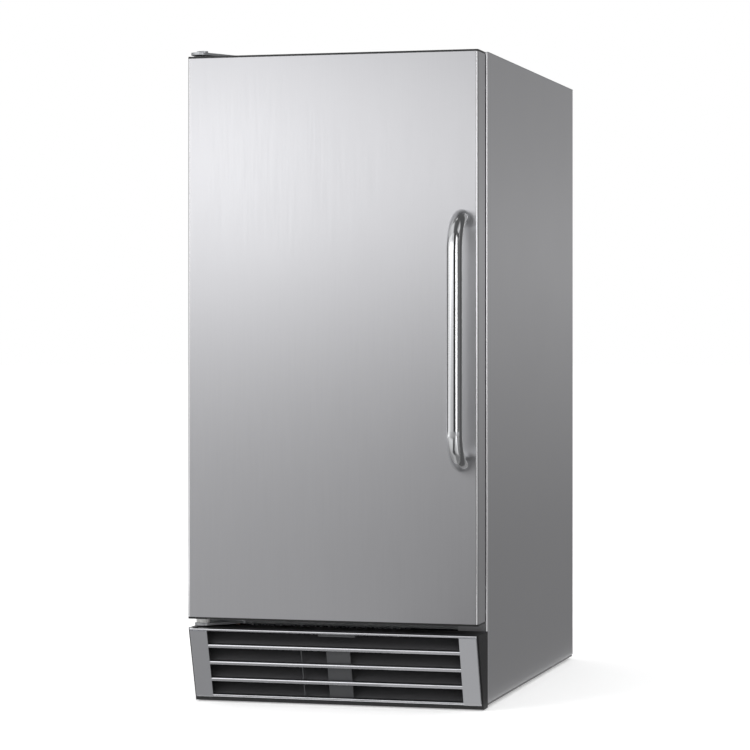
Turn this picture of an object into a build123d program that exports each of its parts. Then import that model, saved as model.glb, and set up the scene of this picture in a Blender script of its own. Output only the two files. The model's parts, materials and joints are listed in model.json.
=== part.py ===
from build123d import *
import os
from math import hypot

# An under-counter ice maker: cabinet, door, ice compartment and machine bay.
# Millimetres. +X is right, +Y is back, +Z is up; the door faces -Y and the floor is at Z 0.

os.makedirs("parts", exist_ok=True)

# Cabinet
cabinet_width = 378.0
cabinet_height = 820.0  # underside of the base pan to the top panel
cabinet_depth = 560.0  # front flange to back panel
sheet = 1.0
fold_radius = 2.5
side_lift = 3.0  # how much of the base pan shows under the side panels
foot_stand = 4.0  # how far the retracted feet hold the base pan off the floor
rear_flange = 14.0
side_foam = 38.0
top_foam = 40.0
back_foam = 45.0
floor_foam = 42.0
liner_wall = 2.5
liner_lip = 10.0
liner_corner = 12.0
flange_reveal = 3.0  # liner edge left showing inside the steel flange
machine_height = 100.0  # underside of the front deck above the base pan's underside
hump_height = 211.0  # the same for the raised deck over the compressor
compressor_bay = 215.0
sill_return = 25.0
pan_sheet = 1.5
pan_lip = 24.0
pan_front_lip = 7.0
cover_overlap = 20.0  # rear cover above the raised deck
vent_width = 60.0
vent_height = 5.0
vent_spacing = 14.0
vent_rows = 8
rear_screw_end = 20.0  # rear screws from the end of the sheet they hold
rear_screw_count = 3  # on each side of the upper back panel

# Clearances
fit_gap = 0.3  # between pieces of different bodies
hole_gap = 0.2  # round a screw or between pieces pushed together
running_gap = 0.05  # round a shaft or a pin
passage_gap = 1.0  # round a tube where it goes through a wall

# Screws
screw_radius = 1.5
screw_head_radius = 4.0
screw_head_height = 2.2
screw_length = 8.0

# Levelling feet
foot_inset_x = 35.0
foot_inset_front = 70.0
foot_inset_rear = 45.0
foot_pad_radius = 15.0
foot_stud_radius = 5.0
foot_chamfer = 1.0
foot_stud_reach = 26.0  # stud left above the base pan when the foot is turned in
nut_radius = 9.0
nut_height = 12.0

# Door
door_thickness = 42.0
door_gap = 13.0  # gasket depth between the door and the cabinet
door_lift = 104.5  # door's lower edge above the base pan's underside
door_drop = 2.0  # door's upper edge below the cabinet top
door_fold = 3.0
door_return = 12.0
cap_plate = 2.5
cap_plug = 8.0
door_plate = 2.0
dike_depth = 20.0  # inner panel's raised part, reaching into the compartment
dike_wall = 2.5
dike_gap = 6.0
dike_draft = 8.0
dike_corner = 20.0
gasket_inset = 18.0
gasket_width = 14.0
gasket_base = 4.0
gasket_neck = 3.0
gasket_corner = 12.0

# Handle
handle_diameter = 20.0
handle_span = 305.0  # between the two feet
handle_height = 461.5  # middle of the handle above the floor
handle_standoff = 50.0  # centre of the bar off the door
handle_inset = 18.4  # centre of the bar from the door's free edge
handle_bend = 42.0
handle_screw_radius = 2.4
handle_screw_length = 16.0

# Hinges
hinge_inset = 14.0  # pivot from the door's left edge
hinge_plate = 3.0
hinge_nose = 11.0
hinge_pad_width = 50.0
hinge_pad_depth = 42.0
pin_radius = 4.0
pin_reach = 13.0  # pin inside the door
pin_head_radius = 6.0
pin_head_height = 3.6
bush_radius = 7.0
bush_flange_radius = 9.0
bush_length = 15.0
lower_leaf_height = 23.0
lower_leaf_width = 55.0
lower_plate_lift = 2.0  # lower hinge plate above the grille's top edge
leaf_screws = (8.0, 20.0)  # screw places to the right of the pivot
pad_screws = (4.0, 20.0, 36.0)
arm_screws = (-15.0, 15.0)  # screw places in front of and behind the pivot
plug_inset = 5.0
plug_radius = 3.2
plug_reach = 3.6
plug_ends = (13.0, 43.0)  # plug heights from each end of the door

# Grille
grille_rise = 93.0  # top edge above the base pan's underside
grille_drop = 2.5  # bottom edge below the base pan's underside
grille_lean = 30.0  # how far the bottom edge lies behind the top edge
grille_wall = 2.5
grille_frame = 2.0
trim_thickness = 3.0
trim_drop = 1.0  # trim's upper edge below the grille's top edge
trim_lift = 5.6  # trim's lower edge above the grille's bottom edge, which leaves a black strip
trim_inset = 2.0  # ends of the trim from the ends of the grille's body
trim_post = 22.8
trim_top_rail = 3.0
trim_bottom_rail = 3.2
trim_nose = 4.6
trim_round = 1.0
rail_round = 1.2
nose_round = 2.2
slot_count = 4
blade_run = 15.0
blade_rise = 12.0
blade_thickness = 2.0
stay_middle = 5.5  # to the right of the grille's middle
stay_width = 31.0
stay_thickness = 1.6
stay_wire = 1.2  # thin upright to the left of the stay
stay_wire_gap = 48.5
latch_lip = (48.0, 2.0, 4.5)  # lip under the grille's top plate that the front clips to

# Ice bin
bin_setback = 45.0  # bin front behind the cabinet front, leaving room to pull it forward
bin_side_gap = 6.0
bin_rear_gap = 4.0
bin_height = 280.0
bin_wall = 2.5
bin_draft = 2.0
bin_corner = 18.0
bin_rim = 5.0
bin_rim_height = 6.0
bin_grip_width = 110.0
bin_grip_height = 26.0
bin_dip = 45.0  # how much lower the bin's front edge is

# Ice-making module
mould_height = 485.0  # mould's top above the compartment floor
mould_overhang = 20.0  # mould axis behind the riser of the compartment floor
cube_spacing = 22.5
cube_radius = 34.0
cube_gap = 3.0  # wall between two cavities
mould_wall = 4.0
mould_end = 6.0
mould_lug = 16.0
mould_side = 19.0  # free space between the mould's ear and the left wall
shaft_lift = 6.0  # rake shaft above the mould's top
shaft_radius = 5.0
finger_reach = 30.0
finger_width = 6.0
finger_thickness = 4.0
finger_park = -25.0
ear_thickness = 6.0
ear_radius = 10.0
strip_thickness = 2.5
strip_edge = 50.0  # stripper's front edge from the shaft
strip_drop = 9.0
tooth_width = 13.0
head_length = 58.0
head_front = 66.0
head_back = 42.0
head_below = 50.0
head_above = 45.0
head_corner = 6.0
head_cover = 6.0
head_side = 16.0  # free space between the head's cover and the right wall
weir_depth = 9.0
weir_width = 8.0
arm_radius = 1.8
arm_forward = 58.0  # arm pivot in front of the shaft
arm_below = 15.0  # arm pivot below the mould's top
arm_drop = 75.0
arm_bend = 6.0
arm_inset = 6.0
rail_thickness = 2.0
rail_height = 40.0
rail_ledge = 26.0
rail_rise = 10.0  # rail's top above the mould's top
cup_wall = 2.0
cup_length = 34.0
cup_depth = 40.0
cup_height = 32.0
cup_lift = 20.0

# Evaporator
evaporator_room = 70.0  # from the evaporator cover to the compartment's back
coil_depth = 44.0
coil_height = 150.0
coil_side = 39.5  # free space beside the coil, for the rising lines
coil_lift = 25.0  # fins above the raised floor
cover_thickness = 2.5
fan_hole_radius = 56.0
guard_ring = 3.0
evaporator_fan_radius = 50.0
return_slots = 9
return_slot_length = 35.0
return_slot_width = 8.0
return_slot_lift = 30.0  # middle of the slots above the raised floor
motor_bar = 14.0
motor_bar_sheet = 2.0
motor_bar_set = 4.0  # bar behind the front of the motor can
motor_bar_reach = 12.0  # bar past the edge of the fan hole
motor_post_radius = 3.0

# Controls
control_width = 105.0
control_depth = 80.0
control_height = 42.0
control_setback = 30.0
control_side = 12.5  # free space between the control box and the right wall
control_corner = 6.0
knob_radius = 15.0
knob_depth = 13.0
knob_shaft_radius = 3.0
rocker_width = 14.0
rocker_height = 22.0
rocker_depth = 9.0
rocker_lean = 2.5  # how far the upper half stands out more than the lower half
rocker_set = 5.0  # rocking axis behind the box's face
rocker_gap = 1.0  # above and below the rocker in its window

# Machine bay
fin = 0.8
fin_count = 22
coil_tubes = 4
coil_tube_radius = 4.0
condenser_side = 64.0  # coil from the cabinet's left side, leaving a lane for the lines
condenser_width = 195.0
condenser_front = 16.0
condenser_depth = 48.0
condenser_margin = 6.0
shroud_gap = 8.0
shroud_sheet = 1.5
condenser_fan_radius = 40.0
shroud_clear = 3.0
fan_hub_radius = 13.0
fan_depth = 16.0
fan_blades = 5
fan_pitch = 32.0
fan_blade = 1.5
motor_radius = 20.0
motor_length = 32.0
motor_gap = 3.0
motor_shaft_radius = 2.5
motor_stand = (24.0, 20.0)  # pillar under the condenser fan motor
motor_foot = (60.0, 30.0, 2.0)
compressor_side = 149.0  # compressor axis from the cabinet's right side
compressor_inset = 108.0  # compressor axis in front of the cabinet's back
compressor_radius = 70.0
compressor_height = 165.0
compressor_dome = 32.0
compressor_plate = (180.0, 128.0, 3.0)
compressor_plate_corner = 12.0
compressor_seam = 5.0  # welded belt round the can
compressor_seam_lift = 95.0
relay_box = (56.0, 20.0, 60.0)
relay_lift = 40.0
grommet_spread = (156.0, 104.0)
grommet_radius = 11.0
grommet_height = 16.0
line_radius = 4.0
line_bend = 14.0
line_lane = 18.0  # lane of the lines beside the side panel
stub_length = 10.0
suction_height = 130.0
capillary_radius = 1.6
drier_radius = 10.0
drier_length = 100.0
drier_start = 200.0
drier_neck = 12.0

# Water path and cord entry
inlet_reach = 15.0  # hose thread behind the back panel
inlet_radius = 13.2
valve_height = 75.0
valve_size = 40.0
valve_plate = 2.0
valve_tab = 8.0
coil_radius = 15.0
coil_length = 34.0
fill_radius = 4.0
fill_wall = 1.0
fill_bend = 20.0
fill_inset = 26.0  # rising tube in front of the cabinet's back
gland_side = 69.0  # gland from the cabinet's right side
gland_lift = 58.0
gland_radius = 10.0
gland_flange = 13.0
gland_bore = 4.2
gland_reach = 6.0
gland_round = 1.5

# Places that follow from the sizes above
half_width = cabinet_width / 2
handle_radius = handle_diameter / 2
front_reach = door_gap + door_thickness + handle_standoff + handle_radius
front_y = (front_reach - cabinet_depth - inlet_reach) / 2
back_y = front_y + cabinet_depth
back_seat = back_y - sheet
foam_back = back_seat - fold_radius
door_back = front_y - door_gap
door_front = door_back - door_thickness
door_middle_y = (door_front + door_back) / 2
bar_y = door_front - handle_standoff
base_z = foot_stand
base_top = base_z + pan_sheet
top_z = base_z + cabinet_height
side_z = base_z + side_lift
door_bottom = base_z + door_lift
door_top = top_z - door_drop
door_middle_z = (door_bottom + door_top) / 2
door_height = door_top - door_bottom
insulation = floor_foam + liner_wall
deck_z = base_z + machine_height
floor_z = deck_z + sheet + insulation
hump_deck_z = base_z + hump_height
hump_z = hump_deck_z + sheet + insulation
riser_y = back_y - compressor_bay - insulation
inner_back = foam_back - back_foam - liner_wall
ceiling_z = top_z - sheet - top_foam - liner_wall
liner_half = half_width - sheet - side_foam - liner_wall
front_flange = half_width - liner_half - flange_reveal
grille_top = base_z + grille_rise
grille_bottom = base_z - grille_drop
pivot_x = hinge_inset - half_width
handle_x = half_width - handle_inset


def keep(piece, name):
    """Label a finished piece and write it as its own STEP file."""
    piece.part.label = name
    export_step(piece.part, f"parts/{name}.step")


def facing(y):
    """Upright plane at depth y that faces the front: X to the right, Z up."""
    return Plane.XZ.offset(-y)


def upright(x, y):
    """Upright plane through a vertical axis at x and y: distance from the axis to the right, Z up."""
    return Plane(origin=(x, y, 0), x_dir=(1, 0, 0), z_dir=(0, -1, 0))


def rearward(y):
    """Upright plane at depth y that faces the back; its sketches here are symmetric in X."""
    return Plane(origin=(0, y, 0), x_dir=(-1, 0, 0), z_dir=(0, 1, 0))


def block(x_span, y_span, z_span, mode=Mode.ADD):
    """Straight block between two values on each axis, in the piece being built."""
    spans = (x_span, y_span, z_span)
    with Locations(tuple((low + high) / 2 for low, high in spans)):
        Box(*(high - low for low, high in spans), mode=mode)


def rod(start, direction, radius, length, mode=Mode.ADD):
    """Round rod from a point along a direction, in the piece being built."""
    with Locations(Plane(origin=start, z_dir=direction)):
        Cylinder(radius, length, align=(Align.CENTER, Align.CENTER, Align.MIN), mode=mode)


def screw(seat, outward, length):
    """Pan-head screw with its head on the seat and its shank running inwards."""
    rod(seat, outward, screw_head_radius, screw_head_height)
    rod(seat, tuple(-part for part in outward), screw_radius, length)


def screw_hole(seat, outward):
    """Clearance hole for one screw, through whatever sheet lies at the seat."""
    start = tuple(at + part * screw_length for at, part in zip(seat, outward))
    inward = tuple(-part for part in outward)
    rod(start, inward, screw_radius + hole_gap, 2 * screw_length, mode=Mode.SUBTRACT)


def step_outline(grow):
    """Side outline of the compartment with its raised rear floor, grown outwards by a wall."""
    return [
        (front_y, floor_z - grow),
        (riser_y + grow, floor_z - grow),
        (riser_y + grow, hump_z - grow),
        (inner_back + grow, hump_z - grow),
        (inner_back + grow, ceiling_z + grow),
        (front_y, ceiling_z + grow),
    ]


def bent_tube(points, bend, radius, bore=0.0):
    """Tube along straight runs joined by bends, solid where no bore is given."""
    with BuildPart() as piece:
        with BuildLine() as path:
            FilletPolyline(*points, radius=bend)
        with BuildSketch(Plane(origin=path.line @ 0, z_dir=path.line % 0)):
            Circle(radius)
            if bore:
                Circle(bore, mode=Mode.SUBTRACT)
        sweep()
    return piece


# Places of the water path and the refrigerant lines, needed by the walls they go through
mould_top = floor_z + mould_height
mould_y = riser_y + mould_overhang
shaft_z = mould_top + shaft_lift
fill_x = cup_length / 2 - liner_half
fill_y = back_y - fill_inset
fill_z = mould_top + cup_lift + 0.6 * cup_height
fill_end = mould_y + cup_depth / 2 - 4 * cup_wall
valve_z = base_z + valve_height
valve_top = valve_z + valve_size / 2 + stub_length
fill_line = [(fill_x, fill_y, valve_top), (fill_x, fill_y, fill_z), (fill_x, fill_end, fill_z)]
fill_bore = bent_tube(fill_line, fill_bend, fill_radius + passage_gap)

cover_y = inner_back - evaporator_room
coil_back = inner_back - 6 * cover_thickness
coil_y = coil_back - coil_depth / 2
coil_bottom = hump_z + coil_lift
coil_half = liner_half - coil_side
coil_step = coil_height / coil_tubes
condenser_left = condenser_side - half_width
condenser_right = condenser_left + condenser_width
condenser_y = front_y + condenser_front + condenser_depth / 2
condenser_bottom = base_top + condenser_margin
condenser_top = deck_z - condenser_margin
condenser_step = (condenser_top - condenser_bottom) / coil_tubes
liquid_z = condenser_bottom + condenser_step / 2
discharge_z = condenser_top - condenser_step / 2
compressor_x = half_width - compressor_side
compressor_y = back_y - compressor_inset
line_x = line_lane - half_width
rise_x = coil_half + stub_length + 2 * line_radius + line_bend
suction_z = coil_bottom + coil_height - coil_step / 2
capillary_z = coil_bottom + coil_step / 2
suction_start = compressor_x + compressor_radius + stub_length
drier_y = front_y + drier_start
suction_line = [
    (suction_start, coil_y, suction_height),
    (rise_x, coil_y, suction_height),
    (rise_x, coil_y, suction_z),
    (coil_half + stub_length, coil_y, suction_z),
]
capillary_line = [
    (line_x, drier_y + drier_length, liquid_z),
    (line_x, coil_y, liquid_z),
    (line_x, coil_y, hump_deck_z - 2 * line_bend),
    (-rise_x, coil_y, hump_deck_z - 2 * line_bend),
    (-rise_x, coil_y, capillary_z),
    (-coil_half - stub_length, coil_y, capillary_z),
]
line_holes = [
    (rise_x, coil_y, line_radius + passage_gap),
    (-rise_x, coil_y, capillary_radius + passage_gap),
]


def line_passages():
    """Holes for the two rising lines, through the raised floor of whatever piece is being built."""
    for x, y, radius in line_holes:
        rod((x, y, hump_deck_z - insulation), (0, 0, 1), radius, 3 * insulation, mode=Mode.SUBTRACT)


# Side panels: one folded sheet each, with a wide front flange and a narrow rear one
cover_top = hump_deck_z + cover_overlap
cover_screw_z = [side_z + rear_screw_end, hump_deck_z]
panel_screw_low = cover_top + rear_screw_end
panel_screw_step = (top_z - 2 * rear_screw_end - panel_screw_low) / (rear_screw_count - 1)
panel_screw_z = [panel_screw_low + number * panel_screw_step for number in range(rear_screw_count)]
rear_screw_x = half_width - 0.6 * rear_flange
plug_x = half_width - plug_inset
plug_z = [door_top - end for end in plug_ends] + [door_bottom + end for end in plug_ends]

with BuildPart() as right_side_panel:
    with BuildSketch(Plane.XY.offset(side_z)):
        with BuildLine():
            FilletPolyline(
                (half_width - rear_flange, back_seat - sheet / 2),
                (half_width - sheet / 2, back_seat - sheet / 2),
                (half_width - sheet / 2, front_y + sheet / 2),
                (half_width - front_flange, front_y + sheet / 2),
                radius=fold_radius - sheet / 2,
            )
        trace(line_width=sheet)
    extrude(amount=top_z - sheet - side_z)
    for z in cover_screw_z + panel_screw_z:
        screw_hole((rear_screw_x, back_y, z), (0, 1, 0))

with BuildPart() as left_side_panel:
    mirror(right_side_panel.part, about=Plane.YZ)

with BuildPart(mode=Mode.PRIVATE) as plugged_panel:
    add(right_side_panel.part)
    for z in plug_z:
        screw_hole((plug_x - plug_radius / 2, front_y, z), (0, -1, 0))

keep(plugged_panel, "right_side_panel")

# Hinge places: the lower leaf is screwed to the left panel's front flange
lower_plate_z = grille_top + lower_plate_lift
leaf_screw_x = [pivot_x + place for place in leaf_screws]
leaf_screw_z = lower_plate_z + 0.65 * lower_leaf_height

with BuildPart(mode=Mode.PRIVATE) as hinged_panel:
    add(left_side_panel.part)
    for x in leaf_screw_x:
        screw_hole((x, front_y, leaf_screw_z), (0, -1, 0))

keep(hinged_panel, "left_side_panel")

# Top panel: lies on both side panels, its flanges drop between theirs
pad_screw_x = [pivot_x + place for place in pad_screws]
pad_screw_y = front_y + 0.6 * hinge_pad_depth
top_flange = top_z - ceiling_z - flange_reveal

with BuildPart() as top_panel:
    with BuildSketch(Plane.YZ.offset(-half_width)):
        with BuildLine():
            FilletPolyline(
                (front_y + sheet / 2, top_z - top_flange),
                (front_y + sheet / 2, top_z - sheet / 2),
                (back_seat - sheet / 2, top_z - sheet / 2),
                (back_seat - sheet / 2, top_z - rear_flange),
                radius=fold_radius - sheet / 2,
            )
        trace(line_width=sheet)
    extrude(amount=cabinet_width)
    for side in (-1, 1):
        outer = side * half_width
        front_cut = sorted((outer, side * (half_width - front_flange)))
        rear_cut = sorted((outer, side * (half_width - rear_flange)))
        block(front_cut, (front_y, front_y + sheet + fold_radius), (ceiling_z, top_z - sheet), Mode.SUBTRACT)
        block(rear_cut, (foam_back, back_y), (ceiling_z, top_z - sheet), Mode.SUBTRACT)
    for x in pad_screw_x:
        screw_hole((x, pad_screw_y, top_z), (0, 0, 1))

keep(top_panel, "top_panel")

# Front sill: the rail under the compartment opening that the gasket's lower run meets
sill_half = half_width - front_flange
sill_bottom = grille_top + sheet

with BuildPart() as front_sill:
    with BuildSketch(Plane.YZ.offset(-sill_half)):
        with BuildLine():
            FilletPolyline(
                (front_y + sheet / 2, floor_z - flange_reveal),
                (front_y + sheet / 2, sill_bottom + sheet / 2),
                (front_y + sill_return, sill_bottom + sheet / 2),
                radius=fold_radius - sheet / 2,
            )
        trace(line_width=sheet)
    extrude(amount=2 * sill_half)

keep(front_sill, "front_sill")

# Machine deck: stepped sheet under the insulation, raised over the compressor
deck_mid = insulation + sheet / 2

with BuildPart() as machine_deck:
    with BuildSketch(Plane.YZ.offset(sheet - half_width)):
        with BuildLine():
            FilletPolyline(
                (front_y + fold_radius, floor_z - deck_mid),
                (riser_y + deck_mid, floor_z - deck_mid),
                (riser_y + deck_mid, hump_z - deck_mid),
                (foam_back, hump_z - deck_mid),
                radius=sheet,
            )
        trace(line_width=sheet)
    extrude(amount=cabinet_width - 2 * sheet)
    add(fill_bore.part, mode=Mode.SUBTRACT)
    line_passages()

keep(machine_deck, "machine_deck")

# Insulation: foamed between the outer sheets and the liner
foam_front = front_y + sheet + liner_wall

with BuildPart() as cabinet_foam:
    with BuildSketch(Plane.YZ.offset(sheet - half_width)):
        Polygon(
            (foam_front, floor_z - insulation),
            (riser_y + insulation - sheet, floor_z - insulation),
            (riser_y + insulation - sheet, hump_z - insulation),
            (foam_back, hump_z - insulation),
            (foam_back, top_z - sheet),
            (foam_front, top_z - sheet),
            align=None,
        )
    extrude(amount=cabinet_width - 2 * sheet)
    with BuildSketch(Plane.YZ.offset(-liner_half - liner_wall)):
        Polygon(*step_outline(liner_wall), align=None)
    extrude(amount=2 * (liner_half + liner_wall), mode=Mode.SUBTRACT)
    add(fill_bore.part, mode=Mode.SUBTRACT)
    line_passages()

keep(cabinet_foam, "cabinet_foam")

# Liner: one moulded tub, its lip tucked behind the steel flanges
lip_y = front_y + sheet
opening_width = 2 * liner_half
opening_height = ceiling_z - floor_z
opening_z = (ceiling_z + floor_z) / 2
lip_grow = 2 * liner_lip

with BuildPart() as liner:
    with BuildSketch(Plane.YZ.offset(-liner_half - liner_wall)):
        Polygon(*step_outline(liner_wall), align=None)
    extrude(amount=2 * (liner_half + liner_wall))
    with BuildSketch(facing(lip_y + liner_wall)):
        with Locations((0, opening_z)):
            Rectangle(opening_width + lip_grow, opening_height + lip_grow)
    extrude(amount=liner_wall)
    with BuildSketch(Plane.YZ.offset(-liner_half)):
        Polygon(*step_outline(0.0), align=None)
    extrude(amount=opening_width, mode=Mode.SUBTRACT)
    inner_floor = liner.faces().filter_by(Axis.Z).sort_by_distance((0, (front_y + riser_y) / 2, floor_z))[0]
    floor_edges = inner_floor.edges().filter_by(Axis.X).sort_by(Axis.Y)[-1:]
    floor_edges += inner_floor.edges().filter_by(Axis.Y)
    fillet(floor_edges, radius=liner_corner)
    add(fill_bore.part, mode=Mode.SUBTRACT)
    line_passages()

keep(liner, "liner")

# Back: a plain upper panel and a vented lower cover over the machine bay
cover_width = cabinet_width - 2 * fold_radius
vent_z = base_z + 0.55 * (cover_top - base_z)
gland_x = half_width - gland_side
gland_z = base_z + gland_lift

with BuildPart() as back_panel:
    with BuildSketch(facing(back_y)):
        with Locations((0, (cover_top + hole_gap + top_z - sheet) / 2)):
            Rectangle(cover_width, top_z - sheet - cover_top - hole_gap)
    extrude(amount=sheet)
    for x in (-rear_screw_x, rear_screw_x):
        for z in panel_screw_z:
            screw_hole((x, back_y, z), (0, 1, 0))

keep(back_panel, "back_panel")

with BuildPart() as rear_cover:
    with BuildSketch(facing(back_y)):
        with Locations((0, (cover_top + side_z) / 2)):
            Rectangle(cover_width, cover_top - side_z)
        with Locations((0, vent_z)):
            with GridLocations(1.25 * vent_width, vent_spacing, 2, vent_rows):
                SlotOverall(vent_width, vent_height, mode=Mode.SUBTRACT)
        with Locations((fill_x, valve_z)):
            Circle(inlet_radius + passage_gap, mode=Mode.SUBTRACT)
        with Locations((gland_x, gland_z)):
            Circle(gland_radius + hole_gap, mode=Mode.SUBTRACT)
    extrude(amount=sheet)
    for x in (-rear_screw_x, rear_screw_x):
        for z in cover_screw_z:
            screw_hole((x, back_y, z), (0, 1, 0))

keep(rear_cover, "rear_cover")

with BuildPart() as rear_screws:
    for x in (-rear_screw_x, rear_screw_x):
        for z in cover_screw_z + panel_screw_z:
            screw((x, back_y, z), (0, 1, 0), 2 * sheet)

keep(rear_screws, "rear_screws")

# Base pan: a shallow tray with a low front edge, holes for the feet
foot_x = half_width - foot_inset_x
foot_y = {"front": front_y + foot_inset_front, "rear": back_y - foot_inset_rear}
foot_places = [(side * foot_x, y) for side in (-1, 1) for y in foot_y.values()]
pan_front = front_y + fold_radius

with BuildPart() as base_pan:
    block((sheet - half_width, half_width - sheet), (pan_front, foam_back), (base_z, base_z + pan_lip))
    offset(amount=-pan_sheet, openings=base_pan.faces().sort_by(Axis.Z)[-1])
    block(
        (sheet + pan_sheet - half_width, half_width - sheet - pan_sheet),
        (pan_front, pan_front + pan_sheet),
        (base_z + pan_front_lip, base_z + pan_lip),
        Mode.SUBTRACT,
    )
    for x, y in foot_places:
        rod((x, y, base_z), (0, 0, 1), foot_stud_radius + passage_gap, pan_sheet, Mode.SUBTRACT)

keep(base_pan, "base_pan")

# Levelling feet and the nuts fixed to the pan
with BuildPart() as foot_nuts:
    with BuildSketch(Plane.XY.offset(base_top)):
        with Locations(*foot_places):
            RegularPolygon(nut_radius, 6)
            Circle(foot_stud_radius + running_gap, mode=Mode.SUBTRACT)
    extrude(amount=nut_height)

keep(foot_nuts, "foot_nuts")


def levelling_foot(x, y):
    """Round pad with a threaded stud, turned in as far as it goes."""
    stud_top = base_z + foot_stud_reach
    pad_top = foot_stand - fit_gap
    with BuildPart() as foot:
        with BuildSketch(upright(x, y)):
            with BuildLine():
                Polyline(
                    (0, 0),
                    (foot_pad_radius - foot_chamfer, 0),
                    (foot_pad_radius, foot_chamfer),
                    (foot_pad_radius, pad_top),
                    (foot_stud_radius, pad_top),
                    (foot_stud_radius, stud_top - foot_chamfer),
                    (foot_stud_radius - foot_chamfer, stud_top),
                    (0, stud_top),
                    close=True,
                )
            make_face()
        revolve(axis=Axis((x, y, 0), (0, 0, 1)))
    return foot


for end, y in foot_y.items():
    for side, x in (("left", -foot_x), ("right", foot_x)):
        keep(levelling_foot(x, y), f"foot_{end}_{side}")

# Grille: the face leans back towards the floor, so it is drawn on its own leaning plane
grille_height = grille_top - grille_bottom
slope = hypot(grille_lean, grille_height)
grille_foot = door_front + grille_lean
lean_plane = Plane(
    origin=(0, grille_foot, grille_bottom),
    x_dir=(1, 0, 0),
    z_dir=(0, -grille_height, -grille_lean),
)
trim_top = slope - trim_drop
slots_top = trim_top - trim_top_rail
slots_bottom = trim_lift + trim_bottom_rail
trim_width = cabinet_width - 2 * trim_inset
slot_width = trim_width - 2 * trim_post
slot_height = (slots_top - slots_bottom - (slot_count - 1) * trim_nose) / slot_count
slot_pitch = slot_height + trim_nose
slot_middle = (slots_top + slots_bottom) / 2
trim_bars = [
    (trim_lift, trim_bottom_rail, slot_width, rail_round, rail_round),
    (slots_top, trim_top_rail, trim_width, rail_round, rail_round),
]
for number in range(1, slot_count):
    nose_foot = slots_bottom + number * slot_pitch - trim_nose
    trim_bars.append((nose_foot, trim_nose, slot_width, nose_round, trim_round))

# Trim: two flat posts joined by rounded bars, each bar drawn in section and run across
with BuildPart() as grille_trim:
    with BuildSketch(lean_plane):
        for side in (-1, 1):
            with Locations((side * (trim_width - trim_post) / 2, (trim_lift + slots_top) / 2)):
                Rectangle(trim_post, slots_top - trim_lift)
    extrude(amount=-trim_thickness)
    post_faces = grille_trim.faces().sort_by(Axis(lean_plane.origin, lean_plane.z_dir))[-2:]
    post_edges = post_faces.edges().filter_by(Axis(lean_plane.origin, lean_plane.y_dir)).sort_by(Axis.X)
    fillet((post_edges[0], post_edges[-1]), radius=trim_round)
    for foot, height, width, upper_round, lower_round in trim_bars:
        section_plane = Plane(
            origin=lean_plane.from_local_coords((-width / 2, foot + height / 2, -trim_thickness / 2)),
            x_dir=lean_plane.y_dir,
            z_dir=(1, 0, 0),
        )
        with BuildSketch(section_plane) as section:
            Rectangle(height, trim_thickness)
            fillet(section.vertices().sort_by(Axis.X)[-2:].sort_by(Axis.Y)[-1], radius=upper_round)
            fillet(section.vertices().sort_by(Axis.X)[:2].sort_by(Axis.Y)[-1], radius=lower_round)
        extrude(amount=width)

keep(grille_trim, "grille_trim")


def behind_face(up, back):
    """Y and Z of a point up the grille's leaning face and a way behind it."""
    point = lean_plane.from_local_coords((0, up, -back))
    return (point.Y, point.Z)


def lean_y(z, back):
    """Y of the leaning plane at height z, a way behind the grille's face."""
    return grille_foot - grille_lean * (z - grille_bottom) / grille_height + back * slope / grille_height


frame_back = trim_thickness + grille_frame
blade_start = frame_back + stay_thickness + blade_thickness / 2
inner_top = grille_top - grille_wall
inner_bottom = grille_bottom + grille_wall

with BuildPart() as grille_body:
    with BuildSketch(Plane.YZ.offset(-half_width)):
        Polygon(
            (lean_y(grille_bottom, trim_thickness), grille_bottom),
            (lean_y(grille_top, trim_thickness), grille_top),
            (front_y, grille_top),
            (front_y, grille_bottom),
            align=None,
        )
    extrude(amount=cabinet_width)
    with BuildSketch(Plane.YZ.offset(grille_wall - half_width)):
        Polygon(
            (lean_y(inner_bottom, frame_back), inner_bottom),
            (lean_y(inner_top, frame_back), inner_top),
            (front_y + grille_wall, inner_top),
            (front_y + grille_wall, inner_bottom),
            align=None,
        )
    extrude(amount=cabinet_width - 2 * grille_wall, mode=Mode.SUBTRACT)
    with BuildSketch(lean_plane.offset(-frame_back)):
        with Locations((0, slot_middle)):
            with GridLocations(1, slot_pitch, 1, slot_count):
                Rectangle(slot_width, slot_height, mode=Mode.ADD)
    extrude(amount=frame_back, mode=Mode.SUBTRACT)
    with BuildSketch(Plane.YZ.offset(grille_wall / 2 - half_width)):
        for number in range(slot_count):
            blade_y, blade_z = behind_face(slots_bottom + number * slot_pitch - trim_nose / 2, blade_start)
            Polygon(
                (blade_y, blade_z),
                (blade_y, blade_z + blade_thickness),
                (blade_y + blade_run, blade_z + blade_rise + blade_thickness),
                (blade_y + blade_run, blade_z + blade_rise),
                align=None,
            )
    extrude(amount=cabinet_width - grille_wall)
    block(
        (-half_width, half_width),
        (front_y, front_y + 2 * blade_run),
        (grille_bottom, grille_top + blade_rise),
        Mode.SUBTRACT,
    )
    block(
        (-half_width, half_width),
        (grille_foot, front_y),
        (0, grille_bottom),
        Mode.SUBTRACT,
    )

keep(grille_body, "grille_body")

# Stay: grey strip behind the louvres with a thin upright beside it, and the latch lip above them
stay_bottom = trim_lift
stay_top = slots_bottom + (slot_count - 1) * slot_pitch - trim_nose
lip_width, lip_depth, lip_height = latch_lip
lip_front = lean_y(inner_top, frame_back)

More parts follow.
